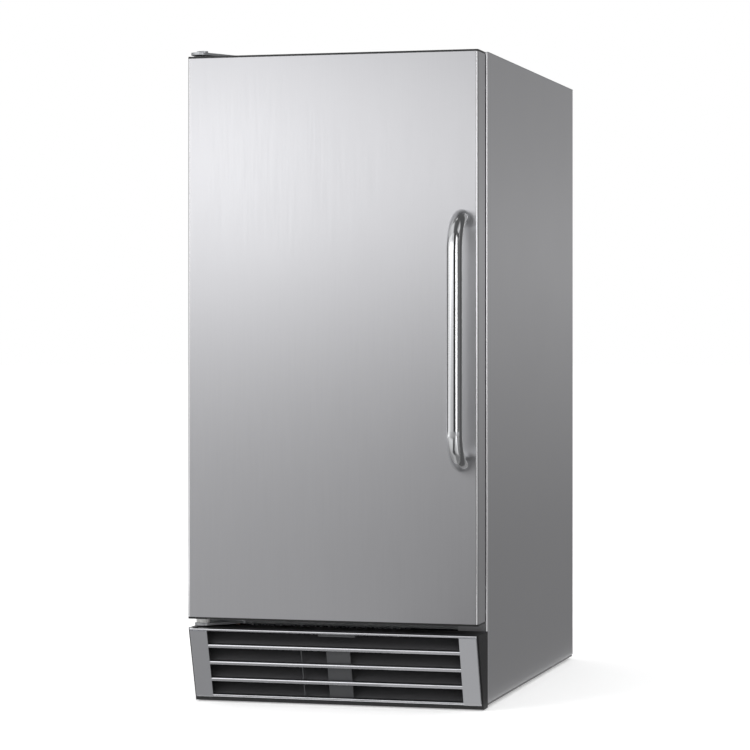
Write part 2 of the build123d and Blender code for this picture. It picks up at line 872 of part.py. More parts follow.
with BuildPart() as grille_stay:
    with BuildSketch(lean_plane.offset(-frame_back)):
        with Locations((stay_middle, (stay_bottom + stay_top) / 2)):
            Rectangle(stay_width, stay_top - stay_bottom)
        with Locations((stay_middle - stay_wire_gap, (stay_bottom + stay_top) / 2)):
            Rectangle(stay_wire, stay_top - stay_bottom)
    extrude(amount=-stay_thickness)
    block(
        (stay_middle - lip_width / 2, stay_middle + lip_width / 2),
        (lip_front, lip_front + lip_depth),
        (inner_top - lip_height, inner_top),
    )

keep(grille_stay, "grille_stay")

# Door skin: one sheet folded round the front and both sides, with narrow returns at the back
skin_bottom = door_bottom + cap_plate
skin_height = door_height - 2 * cap_plate
handle_z = [handle_height - handle_span / 2, handle_height + handle_span / 2]

with BuildPart() as door_skin:
    with BuildSketch(Plane.XY.offset(skin_bottom)):
        with BuildLine():
            FilletPolyline(
                (door_return - half_width, door_back - sheet / 2),
                (sheet / 2 - half_width, door_back - sheet / 2),
                (sheet / 2 - half_width, door_front + sheet / 2),
                (half_width - sheet / 2, door_front + sheet / 2),
                (half_width - sheet / 2, door_back - sheet / 2),
                (half_width - door_return, door_back - sheet / 2),
                radius=door_fold - sheet / 2,
            )
        trace(line_width=sheet)
    extrude(amount=skin_height)
    for z in handle_z:
        rod((handle_x, door_front, z), (0, 1, 0), handle_screw_radius + hole_gap, sheet, Mode.SUBTRACT)

keep(door_skin, "door_skin")


def door_cap(outer_z, inwards):
    """Moulded end cap: a plate as large as the door and a plug inside the skin."""
    with BuildPart() as cap:
        with BuildSketch(Plane.XY.offset(outer_z)):
            with Locations((0, door_middle_y)):
                RectangleRounded(cabinet_width, door_thickness, door_fold)
        extrude(amount=inwards * cap_plate)
        with BuildSketch(Plane.XY.offset(outer_z + inwards * cap_plate)):
            with Locations((0, door_middle_y)):
                RectangleRounded(
                    cabinet_width - 2 * sheet - 2 * hole_gap,
                    door_thickness - 2 * sheet - 2 * hole_gap,
                    door_fold,
                )
        extrude(amount=inwards * cap_plug)
        start = (pivot_x, door_middle_y, outer_z)
        rod(start, (0, 0, inwards), bush_radius + hole_gap, cap_plate + cap_plug, Mode.SUBTRACT)
    return cap


keep(door_cap(door_top, -1), "door_top_cap")
keep(door_cap(door_bottom, 1), "door_bottom_cap")

# Inner door panel: a moulded sheet whose raised dike closes the compartment
plate_bottom = door_bottom + cap_plate + cap_plug
plate_height = door_height - 2 * (cap_plate + cap_plug)
plate_width = cabinet_width - 2 * door_return - 2 * hole_gap
dike_width = opening_width - 2 * dike_gap
dike_height = opening_height - 2 * dike_gap

with BuildPart() as door_liner:
    with BuildSketch(facing(door_back)):
        with Locations((0, door_middle_z)):
            Rectangle(plate_width, plate_height)
    extrude(amount=door_plate)
    with BuildSketch(rearward(door_back)):
        with Locations((0, opening_z)):
            RectangleRounded(dike_width, dike_height, dike_corner)
    extrude(amount=dike_depth, taper=dike_draft)
    with BuildSketch(rearward(door_back - door_plate)):
        with Locations((0, opening_z)):
            RectangleRounded(dike_width - 2 * dike_wall, dike_height - 2 * dike_wall, dike_corner - dike_wall)
    extrude(amount=dike_depth - dike_wall + door_plate, taper=dike_draft, mode=Mode.SUBTRACT)

keep(door_liner, "door_liner")

# Door foam: fills the skin and the dike
foam_width = cabinet_width - 2 * sheet
foam_depth = door_thickness - sheet - door_plate

with BuildPart() as door_foam:
    with BuildSketch(Plane.XY.offset(plate_bottom)):
        with Locations((0, door_front + sheet + foam_depth / 2)):
            RectangleRounded(foam_width, foam_depth, door_fold)
    extrude(amount=plate_height)
    with BuildSketch(rearward(door_back - door_plate)):
        with Locations((0, opening_z)):
            RectangleRounded(
                dike_width - 2 * dike_wall - 2 * hole_gap,
                dike_height - 2 * dike_wall - 2 * hole_gap,
                dike_corner - dike_wall,
            )
    extrude(amount=dike_depth - dike_wall + door_plate - hole_gap, taper=dike_draft)
    for z in handle_z:
        pocket = (handle_x, door_front + sheet, z)
        rod(pocket, (0, 1, 0), 2 * screw_head_radius, 3 * screw_head_height, Mode.SUBTRACT)
    for z, up in ((plate_bottom, 1), (plate_bottom + plate_height, -1)):
        rod((pivot_x, door_middle_y, z), (0, 0, up), bush_radius + hole_gap, bush_length, Mode.SUBTRACT)

keep(door_foam, "door_foam")

# Gasket: base, neck and magnet bulb, one ring on another
gasket_outer_width = cabinet_width - 2 * gasket_inset
gasket_outer_height = door_height - 2 * gasket_inset
gasket_face = door_gap - fit_gap
gasket_layers = [
    (0.0, gasket_width, 0.0, gasket_base),
    (gasket_neck, gasket_width - 2 * gasket_neck, gasket_base, gasket_base + gasket_neck),
    (0.5, gasket_width - 1.0, gasket_base + gasket_neck, gasket_face),
]

with BuildPart() as door_gasket:
    for inset, width, near, far in gasket_layers:
        with BuildSketch(facing(door_back + far)):
            with Locations((0, door_middle_z)):
                RectangleRounded(
                    gasket_outer_width - 2 * inset,
                    gasket_outer_height - 2 * inset,
                    gasket_corner,
                )
                RectangleRounded(
                    gasket_outer_width - 2 * (inset + width),
                    gasket_outer_height - 2 * (inset + width),
                    gasket_corner / 2,
                    mode=Mode.SUBTRACT,
                )
        extrude(amount=far - near)

keep(door_gasket, "door_gasket")

# Handle: one polished bar bent at both ends, screwed on from inside the skin
with BuildPart() as door_handle:
    with BuildLine():
        FilletPolyline(
            (handle_x, door_front, handle_z[1]),
            (handle_x, bar_y, handle_z[1]),
            (handle_x, bar_y, handle_z[0]),
            (handle_x, door_front, handle_z[0]),
            radius=handle_bend,
        )
    with BuildSketch(Plane(origin=(handle_x, door_front, handle_z[1]), z_dir=(0, -1, 0))):
        Circle(handle_radius)
    sweep()
    for z in handle_z:
        rod(
            (handle_x, door_front, z),
            (0, -1, 0),
            handle_screw_radius + hole_gap,
            handle_screw_length,
            Mode.SUBTRACT,
        )

keep(door_handle, "door_handle")

with BuildPart() as handle_screws:
    for z in handle_z:
        seat = (handle_x, door_front + sheet, z)
        rod(seat, (0, 1, 0), 1.2 * screw_head_radius, 1.5 * screw_head_height)
        rod(seat, (0, -1, 0), handle_screw_radius, handle_screw_length)

keep(handle_screws, "handle_screws")

# Hinges: an arm on the cabinet's top, a leaf under the door, a pin and a bush at each end
pivot_y = door_middle_y
arm_screw_y = [pivot_y + place for place in arm_screws]

with BuildPart() as top_hinge_bracket:
    with BuildSketch(Plane.XY.offset(top_z)):
        with BuildLine():
            for y in (pivot_y - 1.3 * hinge_nose, pivot_y):
                CenterArc((pivot_x, y), hinge_nose, 0, 360)
            pad_x = pivot_x - hinge_nose
            Polyline(
                (pad_x, front_y + hinge_pad_depth),
                (pad_x + hinge_pad_width, front_y + hinge_pad_depth),
                (pad_x + hinge_pad_width, front_y),
            )
        make_hull()
    extrude(amount=hinge_plate)
    rod((pivot_x, pivot_y, top_z), (0, 0, 1), pin_radius + hole_gap, hinge_plate, Mode.SUBTRACT)
    for y in arm_screw_y:
        screw_hole((pivot_x, y, top_z), (0, 0, 1))
    for x in pad_screw_x:
        screw_hole((x, pad_screw_y, top_z), (0, 0, 1))

keep(top_hinge_bracket, "top_hinge_bracket")

with BuildPart() as bottom_hinge_bracket:
    with BuildSketch(Plane.XY.offset(lower_plate_z)):
        with BuildLine():
            CenterArc((pivot_x, pivot_y), hinge_nose, 0, 360)
            leaf_x = pivot_x - 0.8 * hinge_nose
            Polyline((leaf_x, front_y), (leaf_x + lower_leaf_width, front_y))
        make_hull()
    extrude(amount=hinge_plate)
    block(
        (leaf_x, leaf_x + lower_leaf_width),
        (front_y - hinge_plate, front_y),
        (lower_plate_z, lower_plate_z + lower_leaf_height),
    )
    rod((pivot_x, pivot_y, lower_plate_z), (0, 0, 1), pin_radius + hole_gap, hinge_plate, Mode.SUBTRACT)
    for x in leaf_screw_x:
        screw_hole((x, front_y - hinge_plate, leaf_screw_z), (0, -1, 0))

keep(bottom_hinge_bracket, "bottom_hinge_bracket")

with BuildPart() as hinge_pins:
    pin_top = top_z + hinge_plate
    rod((pivot_x, pivot_y, pin_top), (0, 0, 1), pin_head_radius, pin_head_height)
    rod((pivot_x, pivot_y, pin_top), (0, 0, -1), pin_radius, pin_top - door_top + pin_reach)
    rod((pivot_x, pivot_y, lower_plate_z), (0, 0, 1), pin_radius, door_bottom - lower_plate_z + pin_reach)

keep(hinge_pins, "hinge_pins")

with BuildPart() as hinge_bushes:
    gap_above = top_z - door_top - fit_gap
    gap_below = door_bottom - lower_plate_z - hinge_plate - fit_gap
    for z, up, gap in ((door_top, -1, gap_above), (door_bottom, 1, gap_below)):
        rod((pivot_x, pivot_y, z), (0, 0, up), bush_radius, bush_length)
        rod((pivot_x, pivot_y, z), (0, 0, -up), bush_flange_radius, gap)
        start = (pivot_x, pivot_y, z - up * gap)
        rod(start, (0, 0, up), pin_radius + running_gap, gap + bush_length, Mode.SUBTRACT)

keep(hinge_bushes, "hinge_bushes")

with BuildPart() as hinge_screws:
    for y in arm_screw_y:
        screw((pivot_x, y, top_z + hinge_plate), (0, 0, 1), hinge_plate)
    for x in pad_screw_x:
        screw((x, pad_screw_y, top_z + hinge_plate), (0, 0, 1), hinge_plate + sheet)
    for x in leaf_screw_x:
        screw((x, front_y - hinge_plate, leaf_screw_z), (0, -1, 0), hinge_plate + sheet)

keep(hinge_screws, "hinge_screws")

# Plugs that fill the spare hinge holes on the handle side
with BuildPart() as hinge_plugs:
    for z in plug_z:
        seat = (plug_x - plug_radius / 2, front_y, z)
        rod(seat, (0, -1, 0), plug_radius, plug_reach)
        rod(seat, (0, 1, 0), screw_radius, sheet)

keep(hinge_plugs, "hinge_plugs")

# Ice bin: a tapered tub with a rolled rim, a lower front edge and a grip
bin_front = front_y + bin_setback
bin_back = riser_y - bin_rear_gap
bin_width = opening_width - 2 * bin_side_gap
bin_depth = bin_back - bin_front
bin_bottom = floor_z + fit_gap
bin_top = bin_bottom + bin_height
bin_y = (bin_front + bin_back) / 2

with BuildPart() as ice_bin:
    with BuildSketch(Plane.XY.offset(bin_top)):
        with Locations((0, bin_y)):
            RectangleRounded(bin_width - 2 * bin_rim, bin_depth - 2 * bin_rim, bin_corner)
    extrude(amount=-bin_height, taper=bin_draft)
    with BuildSketch(Plane.XY.offset(bin_top - bin_rim_height)):
        with Locations((0, bin_y)):
            RectangleRounded(bin_width, bin_depth, bin_corner + bin_rim)
    extrude(amount=bin_rim_height)
    with BuildSketch(Plane.XY.offset(bin_top)):
        with Locations((0, bin_y)):
            RectangleRounded(
                bin_width - 2 * bin_rim - 2 * bin_wall,
                bin_depth - 2 * bin_rim - 2 * bin_wall,
                bin_corner - bin_wall,
            )
    extrude(amount=bin_wall - bin_height, taper=bin_draft, mode=Mode.SUBTRACT)
    with BuildSketch(facing(bin_y)):
        with Locations((0, bin_top)):
            RectangleRounded(bin_width - 4 * bin_corner, 2 * bin_dip, bin_corner)
    extrude(amount=bin_depth, mode=Mode.SUBTRACT)
    with BuildSketch(facing(bin_y)):
        with Locations((0, bin_top - bin_dip - bin_grip_height - bin_corner)):
            SlotOverall(bin_grip_width, bin_grip_height)
    extrude(amount=bin_depth, mode=Mode.SUBTRACT)

keep(ice_bin, "ice_bin")

# Ice mould: a cast trough with one crescent cavity per cube and a bearing ear at its left end
mould_right = liner_half - head_length - head_cover - head_side
mould_room = mould_right + liner_half - mould_side - ear_thickness
cube_count = int((mould_room - 2 * mould_end + cube_gap) / cube_spacing)
mould_length = cube_count * cube_spacing + 2 * mould_end - cube_gap
mould_left = mould_right - mould_length
first_cube = mould_left + mould_end + (cube_spacing - cube_gap) / 2
cube_x = [first_cube + number * cube_spacing for number in range(cube_count)]
wall_x = [at + cube_spacing / 2 for at in cube_x[:-1]]
mould_back = mould_y + head_back
arm_y = mould_y - arm_forward
arm_z = mould_top - arm_below

with BuildPart() as ice_mould:
    with BuildSketch(Plane.YZ.offset(mould_left)):
        with Locations((mould_y, shaft_z)):
            Circle(cube_radius + mould_wall)
        with Locations((mould_y, mould_top + cube_radius)):
            Rectangle(4 * cube_radius, 2 * cube_radius, mode=Mode.SUBTRACT)
    extrude(amount=mould_length)
    lug_y = (mould_y + 0.8 * cube_radius, mould_back)
    block((cube_x[0], cube_x[-1]), lug_y, (mould_top - mould_lug, mould_top))
    for x in cube_x:
        width = cube_spacing - cube_gap
        rod((x - width / 2, mould_y, shaft_z), (1, 0, 0), cube_radius, width, Mode.SUBTRACT)
    for x in wall_x:
        block(
            (x - cube_gap, x + cube_gap),
            (mould_y - weir_width / 2, mould_y + weir_width / 2),
            (mould_top - weir_depth, mould_top),
            Mode.SUBTRACT,
        )
    with BuildSketch(Plane.YZ.offset(mould_left)):
        with BuildLine():
            CenterArc((mould_y, shaft_z), ear_radius, 0, 360)
            CenterArc((arm_y, arm_z), 0.6 * ear_radius, 0, 360)
        make_hull()
    extrude(amount=-ear_thickness)
    rod(
        (mould_left - ear_thickness, mould_y, shaft_z),
        (1, 0, 0),
        shaft_radius + running_gap,
        ear_thickness + mould_end,
        Mode.SUBTRACT,
    )
    rod(
        (mould_left - ear_thickness, arm_y, arm_z),
        (1, 0, 0),
        arm_radius + running_gap,
        ear_thickness,
        Mode.SUBTRACT,
    )

keep(ice_mould, "ice_mould")

# Ejector rake: a shaft with one finger per cavity, parked upright
rake_left = mould_left - ear_thickness
rake_right = mould_right + 0.2 * head_length

with BuildPart() as ejector_rake:
    rod((rake_left, mould_y, shaft_z), (1, 0, 0), shaft_radius, rake_right - rake_left)
    for x in cube_x:
        with Locations(Location((x, mould_y, shaft_z), (finger_park, 0, 0))):
            Box(
                finger_thickness,
                finger_width,
                finger_reach,
                align=(Align.CENTER, Align.CENTER, Align.MIN),
            )

keep(ejector_rake, "ejector_rake")

# Stripper: a comb on the mould's front rim whose teeth stand between the fingers
strip_back = mould_y - shaft_radius - finger_thickness
strip_front = mould_y - strip_edge
strip_span = mould_length - 2 * fit_gap
strip_fold = mould_y - cube_radius - mould_wall - hole_gap

with BuildPart() as ice_stripper:
    with BuildSketch(Plane.YZ.offset(mould_left + fit_gap)):
        Polygon(
            (strip_fold, mould_top),
            (strip_fold, mould_top + strip_thickness),
            (strip_front, mould_top + strip_thickness - strip_drop),
            (strip_front, mould_top - strip_drop),
            align=None,
        )
    extrude(amount=strip_span)
    for x in wall_x:
        block(
            (x - tooth_width / 2, x + tooth_width / 2),
            (strip_fold, strip_back),
            (mould_top, mould_top + strip_thickness),
        )

keep(ice_stripper, "ice_stripper")

# Drive head: motor housing at the mould's right end, with its screwed cover
head_right = mould_right + head_length
head_y = (mould_y - head_front, mould_back)
head_z = (mould_top - head_below, mould_top + head_above)

with BuildPart() as icemaker_head:
    block((mould_right, head_right), head_y, head_z)
    fillet(icemaker_head.edges().filter_by(Axis.X), radius=head_corner)
    rod(
        (mould_right, mould_y, shaft_z),
        (1, 0, 0),
        shaft_radius + running_gap,
        rake_right - mould_right + fit_gap,
        Mode.SUBTRACT,
    )
    rod((mould_right, arm_y, arm_z), (1, 0, 0), arm_radius + running_gap, 2 * arm_inset, Mode.SUBTRACT)

keep(icemaker_head, "icemaker_head")

with BuildPart() as icemaker_cover:
    block((head_right, head_right + head_cover), head_y, head_z)
    fillet(icemaker_cover.edges().filter_by(Axis.X), radius=head_corner)
    fillet(icemaker_cover.faces().sort_by(Axis.X)[-1].edges(), radius=head_cover / 2)

keep(icemaker_cover, "icemaker_cover")

# Shut-off arm: a wire bail hung between the head and the mould's ear
arm_right = mould_right - arm_inset
arm_left = mould_left + arm_inset
shutoff_arm = bent_tube(
    [
        (mould_right + arm_inset, arm_y, arm_z),
        (arm_right, arm_y, arm_z),
        (arm_right, arm_y, arm_z - arm_drop),
        (arm_left, arm_y, arm_z - arm_drop),
        (arm_left, arm_y, arm_z),
        (rake_left, arm_y, arm_z),
    ],
    arm_bend,
    arm_radius,
)
keep(shutoff_arm, "shutoff_arm")

# Rail: an angle across the compartment that the mould and the head are fixed to
rail_top = mould_top + rail_rise

with BuildPart() as icemaker_rail:
    with BuildSketch(Plane.YZ.offset(-liner_half)):
        with BuildLine():
            Polyline(
                (mould_back + rail_thickness / 2, rail_top),
                (mould_back + rail_thickness / 2, rail_top - rail_height),
                (mould_back + rail_ledge, rail_top - rail_height),
            )
        trace(line_width=rail_thickness)
    extrude(amount=opening_width)

keep(icemaker_rail, "icemaker_rail")

# Fill cup: open box on the compartment's left wall that pours into the first cavity
cup_x = (-liner_half, cup_length - liner_half)
cup_y = (mould_y - cup_depth / 2, mould_y + cup_depth / 2)
cup_z = (mould_top + cup_lift, mould_top + cup_lift + cup_height)

with BuildPart() as fill_cup:
    block(cup_x, cup_y, cup_z)
    offset(amount=-cup_wall, openings=fill_cup.faces().sort_by(Axis.Z)[-1])
    rod(
        (fill_x, cup_y[1] - 2 * cup_wall, fill_z),
        (0, 1, 0),
        fill_radius + hole_gap,
        3 * cup_wall,
        Mode.SUBTRACT,
    )
    block(
        (cup_x[1] - 4 * cup_wall, cup_x[1] - cup_wall),
        (mould_y - cup_depth / 4, mould_y + cup_depth / 4),
        (cup_z[0], cup_z[0] + cup_wall),
        Mode.SUBTRACT,
    )

keep(fill_cup, "fill_cup")

fill_tube = bent_tube(fill_line, fill_bend, fill_radius, fill_radius - fill_wall)
keep(fill_tube, "fill_tube")


def finned_coil(x_span, y_span, z_span, foot_z, stubs):
    """Plate fins on straight tubes, hairpins at the ends and two end plates that stand on foot_z."""
    step = (z_span[1] - z_span[0]) / coil_tubes
    pitch = (x_span[1] - x_span[0]) / (fin_count - 1)
    middle = (y_span[0] + y_span[1]) / 2
    rows = [z_span[0] + (number + 0.5) * step for number in range(coil_tubes)]
    with BuildPart() as coil:
        for number in range(fin_count):
            x = x_span[0] + number * pitch
            block((x - fin / 2, x + fin / 2), y_span, z_span)
        for x in x_span:
            block((x - fin, x + fin), y_span, (foot_z, z_span[1]))
        for z in rows:
            rod((x_span[0], middle, z), (1, 0, 0), coil_tube_radius, x_span[1] - x_span[0])
        for number in range(coil_tubes - 1):
            x = x_span[(number + 1) % 2]
            turn = 180 if number % 2 else -180
            with BuildSketch(Plane.YZ.offset(x)):
                with Locations((middle, rows[number])):
                    Circle(coil_tube_radius)
            revolve(axis=Axis((x, middle, rows[number] + step / 2), (0, 1, 0)), revolution_arc=-turn)
        for x, z, way in stubs:
            rod((x, middle, z), (way, 0, 0), coil_tube_radius, stub_length)
    return coil


evaporator_coil = finned_coil(
    (-coil_half, coil_half),
    (coil_back - coil_depth, coil_back),
    (coil_bottom, coil_bottom + coil_height),
    hump_z,
    [(coil_half, suction_z, 1), (-coil_half, capillary_z, -1)],
)
keep(evaporator_coil, "evaporator_coil")

# Evaporator cover: the compartment's inner back wall, with a fan guard and return slots
fan_z = mould_top
guard_radii = [0.35 * fan_hole_radius, 0.7 * fan_hole_radius]

with BuildPart() as evaporator_cover:
    with BuildSketch(facing(cover_y + cover_thickness)):
        with Locations((0, (hump_z + ceiling_z) / 2)):
            Rectangle(opening_width, ceiling_z - hump_z)
        with Locations((0, fan_z)):
            Circle(fan_hole_radius, mode=Mode.SUBTRACT)
            for radius in guard_radii:
                Circle(radius + guard_ring / 2)
                Circle(radius - guard_ring / 2, mode=Mode.SUBTRACT)
            for angle in (0, 60, 120):
                Rectangle(2 * fan_hole_radius + guard_ring, guard_ring, rotation=angle)
        with Locations((0, hump_z + return_slot_lift)):
            with GridLocations(opening_width / (return_slots + 1), 1, return_slots, 1):
                SlotOverall(return_slot_length, return_slot_width, rotation=90, mode=Mode.SUBTRACT)
    extrude(amount=cover_thickness)
    add(fill_bore.part, mode=Mode.SUBTRACT)

keep(evaporator_cover, "evaporator_cover")


def axial_fan(x, y, z, radius):
    """Fan wheel on an axis along Y, its front face at depth y."""
    with BuildPart(Plane(origin=(x, y, z), z_dir=(0, 1, 0))) as fan:
        Cylinder(fan_hub_radius, fan_depth, align=(Align.CENTER, Align.CENTER, Align.MIN))
        with Locations((0, 0, fan_depth / 2)):
            with PolarLocations((fan_hub_radius + radius) / 2 - 1, fan_blades):
                Box(radius - fan_hub_radius, fan_blade, 1.6 * fan_depth, rotation=(90 - fan_pitch, 0, 0))
        Cylinder(motor_shaft_radius + running_gap, 4 * fan_depth, mode=Mode.SUBTRACT)
    return fan


def motor_body(x, y, z):
    """Motor can with its shaft reaching forward into the wheel, in the piece being built."""
    rod((x, y, z), (0, 1, 0), motor_radius, motor_length)
    rod((x, y, z), (0, -1, 0), motor_shaft_radius, motor_gap + 0.8 * fan_depth)


# Evaporator fan and its motor, held on a bar behind the cover
evaporator_fan_y = cover_y + cover_thickness + 2 * motor_gap
evaporator_motor_y = evaporator_fan_y + fan_depth + motor_gap
keep(axial_fan(0, evaporator_fan_y, fan_z, evaporator_fan_radius), "evaporator_fan")

bar_half = fan_hole_radius + motor_bar_reach
motor_bar_y = evaporator_motor_y + motor_bar_set
post_x = bar_half - motor_bar_reach / 3

with BuildPart() as evaporator_motor:
    motor_body(0, evaporator_motor_y, fan_z)
    block(
        (-bar_half, bar_half),
        (motor_bar_y, motor_bar_y + motor_bar_sheet),
        (fan_z - motor_bar / 2, fan_z + motor_bar / 2),
    )
    for x in (-post_x, post_x):
        post_start = (x, cover_y + cover_thickness, fan_z)
        rod(post_start, (0, 1, 0), motor_post_radius, motor_bar_y - cover_y - cover_thickness)

keep(evaporator_motor, "evaporator_motor")

# Controls: a small box on the compartment's ceiling with a dial and a switch
control_front = front_y + control_setback
control_right = liner_half - control_side
control_x = (control_right - control_width, control_right)
control_z = (ceiling_z - control_height, ceiling_z)
control_middle = ceiling_z - control_height / 2
knob_x = control_x[1] - 0.28 * control_width
rocker_x = control_x[0] + 0.25 * control_width
rocker_pivot_y = control_front + rocker_set
rocker_half = rocker_height / 2

with BuildPart() as control_box:
    block(control_x, (control_front, control_front + control_depth), control_z)
    fillet(control_box.edges().filter_by(Axis.Y).group_by(Axis.Z)[0], radius=control_corner)
    rod(
        (knob_x, control_front, control_middle),
        (0, 1, 0),
        knob_shaft_radius + running_gap,
        knob_depth + fit_gap,
        Mode.SUBTRACT,
    )
    block(
        (rocker_x - rocker_width / 2 - fit_gap, rocker_x + rocker_width / 2 + fit_gap),
        (control_front, control_front + rocker_width),
        (control_middle - rocker_half - rocker_gap, control_middle + rocker_half + rocker_gap),
        Mode.SUBTRACT,
    )

keep(control_box, "control_box")

with BuildPart() as thermostat_knob:
    knob_plane = Plane(origin=(knob_x, control_front - fit_gap, control_middle), z_dir=(0, -1, 0))
    with BuildSketch(knob_plane):
        Circle(knob_radius)
    extrude(amount=0.35 * knob_depth)
    with BuildSketch(knob_plane.offset(0.35 * knob_depth)):
        SlotOverall(1.9 * knob_radius, 0.55 * knob_radius, rotation=90)
    extrude(amount=0.65 * knob_depth)
    rod(
        (knob_x, control_front - fit_gap, control_middle),
        (0, 1, 0),
        knob_shaft_radius,
        knob_depth,
    )

keep(thermostat_knob, "thermostat_knob")

with BuildPart() as power_switch:
    with BuildSketch(Plane.YZ.offset(rocker_x - rocker_width / 2)):
        rocker_back = rocker_pivot_y + 0.45 * rocker_depth
        rocker_face = rocker_pivot_y - rocker_depth + rocker_lean
        Polygon(
            (rocker_back, control_middle - 0.82 * rocker_half),
            (rocker_face + rocker_lean / 5, control_middle - 0.95 * rocker_half),
            (rocker_face, control_middle),
            (rocker_face - rocker_lean, control_middle + 0.86 * rocker_half),
            (rocker_back, control_middle + 0.73 * rocker_half),
            align=None,
        )
    extrude(amount=rocker_width)

keep(power_switch, "power_switch")

# Compressor: a domed can on a plate that stands on four rubber grommets
plate_length, plate_depth, plate_thickness = compressor_plate
can_bottom = base_top + grommet_height + plate_thickness
can_top = can_bottom + compressor_height
grommet_places = [
    (compressor_x + side * grommet_spread[0] / 2, compressor_y + end * grommet_spread[1] / 2)
    for side in (-1, 1)
    for end in (-1, 1)
]

with BuildPart() as compressor:
    with BuildSketch(upright(compressor_x, compressor_y)):
        with BuildLine():
            FilletPolyline(
                (0, can_bottom),
                (compressor_radius, can_bottom),
                (compressor_radius, can_top),
                (0, can_top),
                radius=[0.5 * compressor_dome, compressor_dome],
            )
            Line((0, can_top), (0, can_bottom))
        make_face()
    revolve(axis=Axis((compressor_x, compressor_y, 0), (0, 0, 1)))
    seam_z = can_bottom + compressor_seam_lift
    rod((compressor_x, compressor_y, seam_z), (0, 0, 1), compressor_radius + plate_thickness, compressor_seam)
    with BuildSketch(Plane.XY.offset(base_top + grommet_height)):
        with Locations((compressor_x, compressor_y)):
            RectangleRounded(plate_length, plate_depth, compressor_plate_corner)
    extrude(amount=plate_thickness)
    reach = compressor_radius + stub_length
    rod((compressor_x, compressor_y, discharge_z), (-1, 0, 0), line_radius, reach)
    rod((compressor_x, coil_y, suction_height), (1, 0, 0), line_radius, reach)
    relay_width, relay_depth, relay_height = relay_box
    block(
        (compressor_x - relay_width / 2, compressor_x + relay_width / 2),
        (compressor_y - compressor_radius - relay_depth, compressor_y),
        (can_bottom + relay_lift, can_bottom + relay_lift + relay_height),
    )

keep(compressor, "compressor")

with BuildPart() as compressor_grommets:
    for x, y in grommet_places:
        rod((x, y, base_top), (0, 0, 1), grommet_radius, grommet_height)

keep(compressor_grommets, "compressor_grommets")

# Condenser behind the grille, with its fan and shroud
condenser_coil = finned_coil(
    (condenser_left, condenser_right),
    (front_y + condenser_front, front_y + condenser_front + condenser_depth),
    (condenser_bottom, condenser_top),
    base_top,
    [(condenser_left, liquid_z, -1), (condenser_left, discharge_z, -1)],
)
keep(condenser_coil, "condenser_coil")

shroud_y = front_y + condenser_front + condenser_depth + shroud_gap
shroud_x = (condenser_left + condenser_right) / 2
shroud_z = (base_top + deck_z) / 2

with BuildPart() as fan_shroud:
    with BuildSketch(facing(shroud_y + shroud_sheet)):
        with Locations((shroud_x, shroud_z)):
            Rectangle(condenser_right - condenser_left, deck_z - base_top - 2 * fit_gap)
            Circle(condenser_fan_radius + shroud_clear, mode=Mode.SUBTRACT)
    extrude(amount=shroud_sheet)
    block(
        (condenser_left, condenser_right),
        (shroud_y, shroud_y + 2 * shroud_gap),
        (base_top, base_top + shroud_sheet),
    )

keep(fan_shroud, "fan_shroud")

condenser_fan_y = shroud_y + shroud_gap / 2
condenser_motor_y = condenser_fan_y + fan_depth + motor_gap
keep(axial_fan(shroud_x, condenser_fan_y, shroud_z, condenser_fan_radius), "condenser_fan")

with BuildPart() as condenser_motor:
    motor_body(shroud_x, condenser_motor_y, shroud_z)
    middle_y = condenser_motor_y + motor_length / 2
    stand_width, stand_depth = motor_stand
    with Locations((shroud_x, middle_y, base_top)):
        Box(stand_width, stand_depth, shroud_z - base_top, align=(Align.CENTER, Align.CENTER, Align.MIN))
        Box(*motor_foot, align=(Align.CENTER, Align.CENTER, Align.MIN))

keep(condenser_motor, "condenser_motor")

# Refrigerant lines: discharge, liquid, capillary and suction
discharge_points = [
    (compressor_x - compressor_radius - stub_length, compressor_y, discharge_z),
    (line_x, compressor_y, discharge_z),
    (line_x, condenser_y, discharge_z),
    (condenser_left - stub_length, condenser_y, discharge_z),
]
liquid_points = [
    (condenser_left - stub_length, condenser_y, liquid_z),
    (line_x, condenser_y, liquid_z),
    (line_x, drier_y, liquid_z),
]
line_runs = [
    bent_tube(discharge_points, line_bend, line_radius),
    bent_tube(liquid_points, line_bend, line_radius),
    bent_tube(capillary_line, line_bend, capillary_radius),
    bent_tube(suction_line, line_bend, line_radius),
]

with BuildPart() as refrigerant_lines:
    for run in line_runs:
        add(run.part)

keep(refrigerant_lines, "refrigerant_lines")

with BuildPart() as filter_drier:
    with BuildSketch(Plane.XY.offset(liquid_z)):
        with BuildLine():
            Polyline(
                (line_x, drier_y),
                (line_x + line_radius, drier_y),
                (line_x + drier_radius, drier_y + drier_neck),
                (line_x + drier_radius, drier_y + drier_length - drier_neck),
                (line_x + line_radius, drier_y + drier_length),
                (line_x, drier_y + drier_length),
                close=True,
            )
        make_face()
    revolve(axis=Axis((line_x, drier_y, liquid_z), (0, 1, 0)))

keep(filter_drier, "filter_drier")

# Water valve: body on a plate behind the rear cover, solenoid coil beside it, hose thread out at the back
valve_back = back_seat - valve_plate
valve_x = (fill_x - valve_size / 2, fill_x + valve_size / 2)

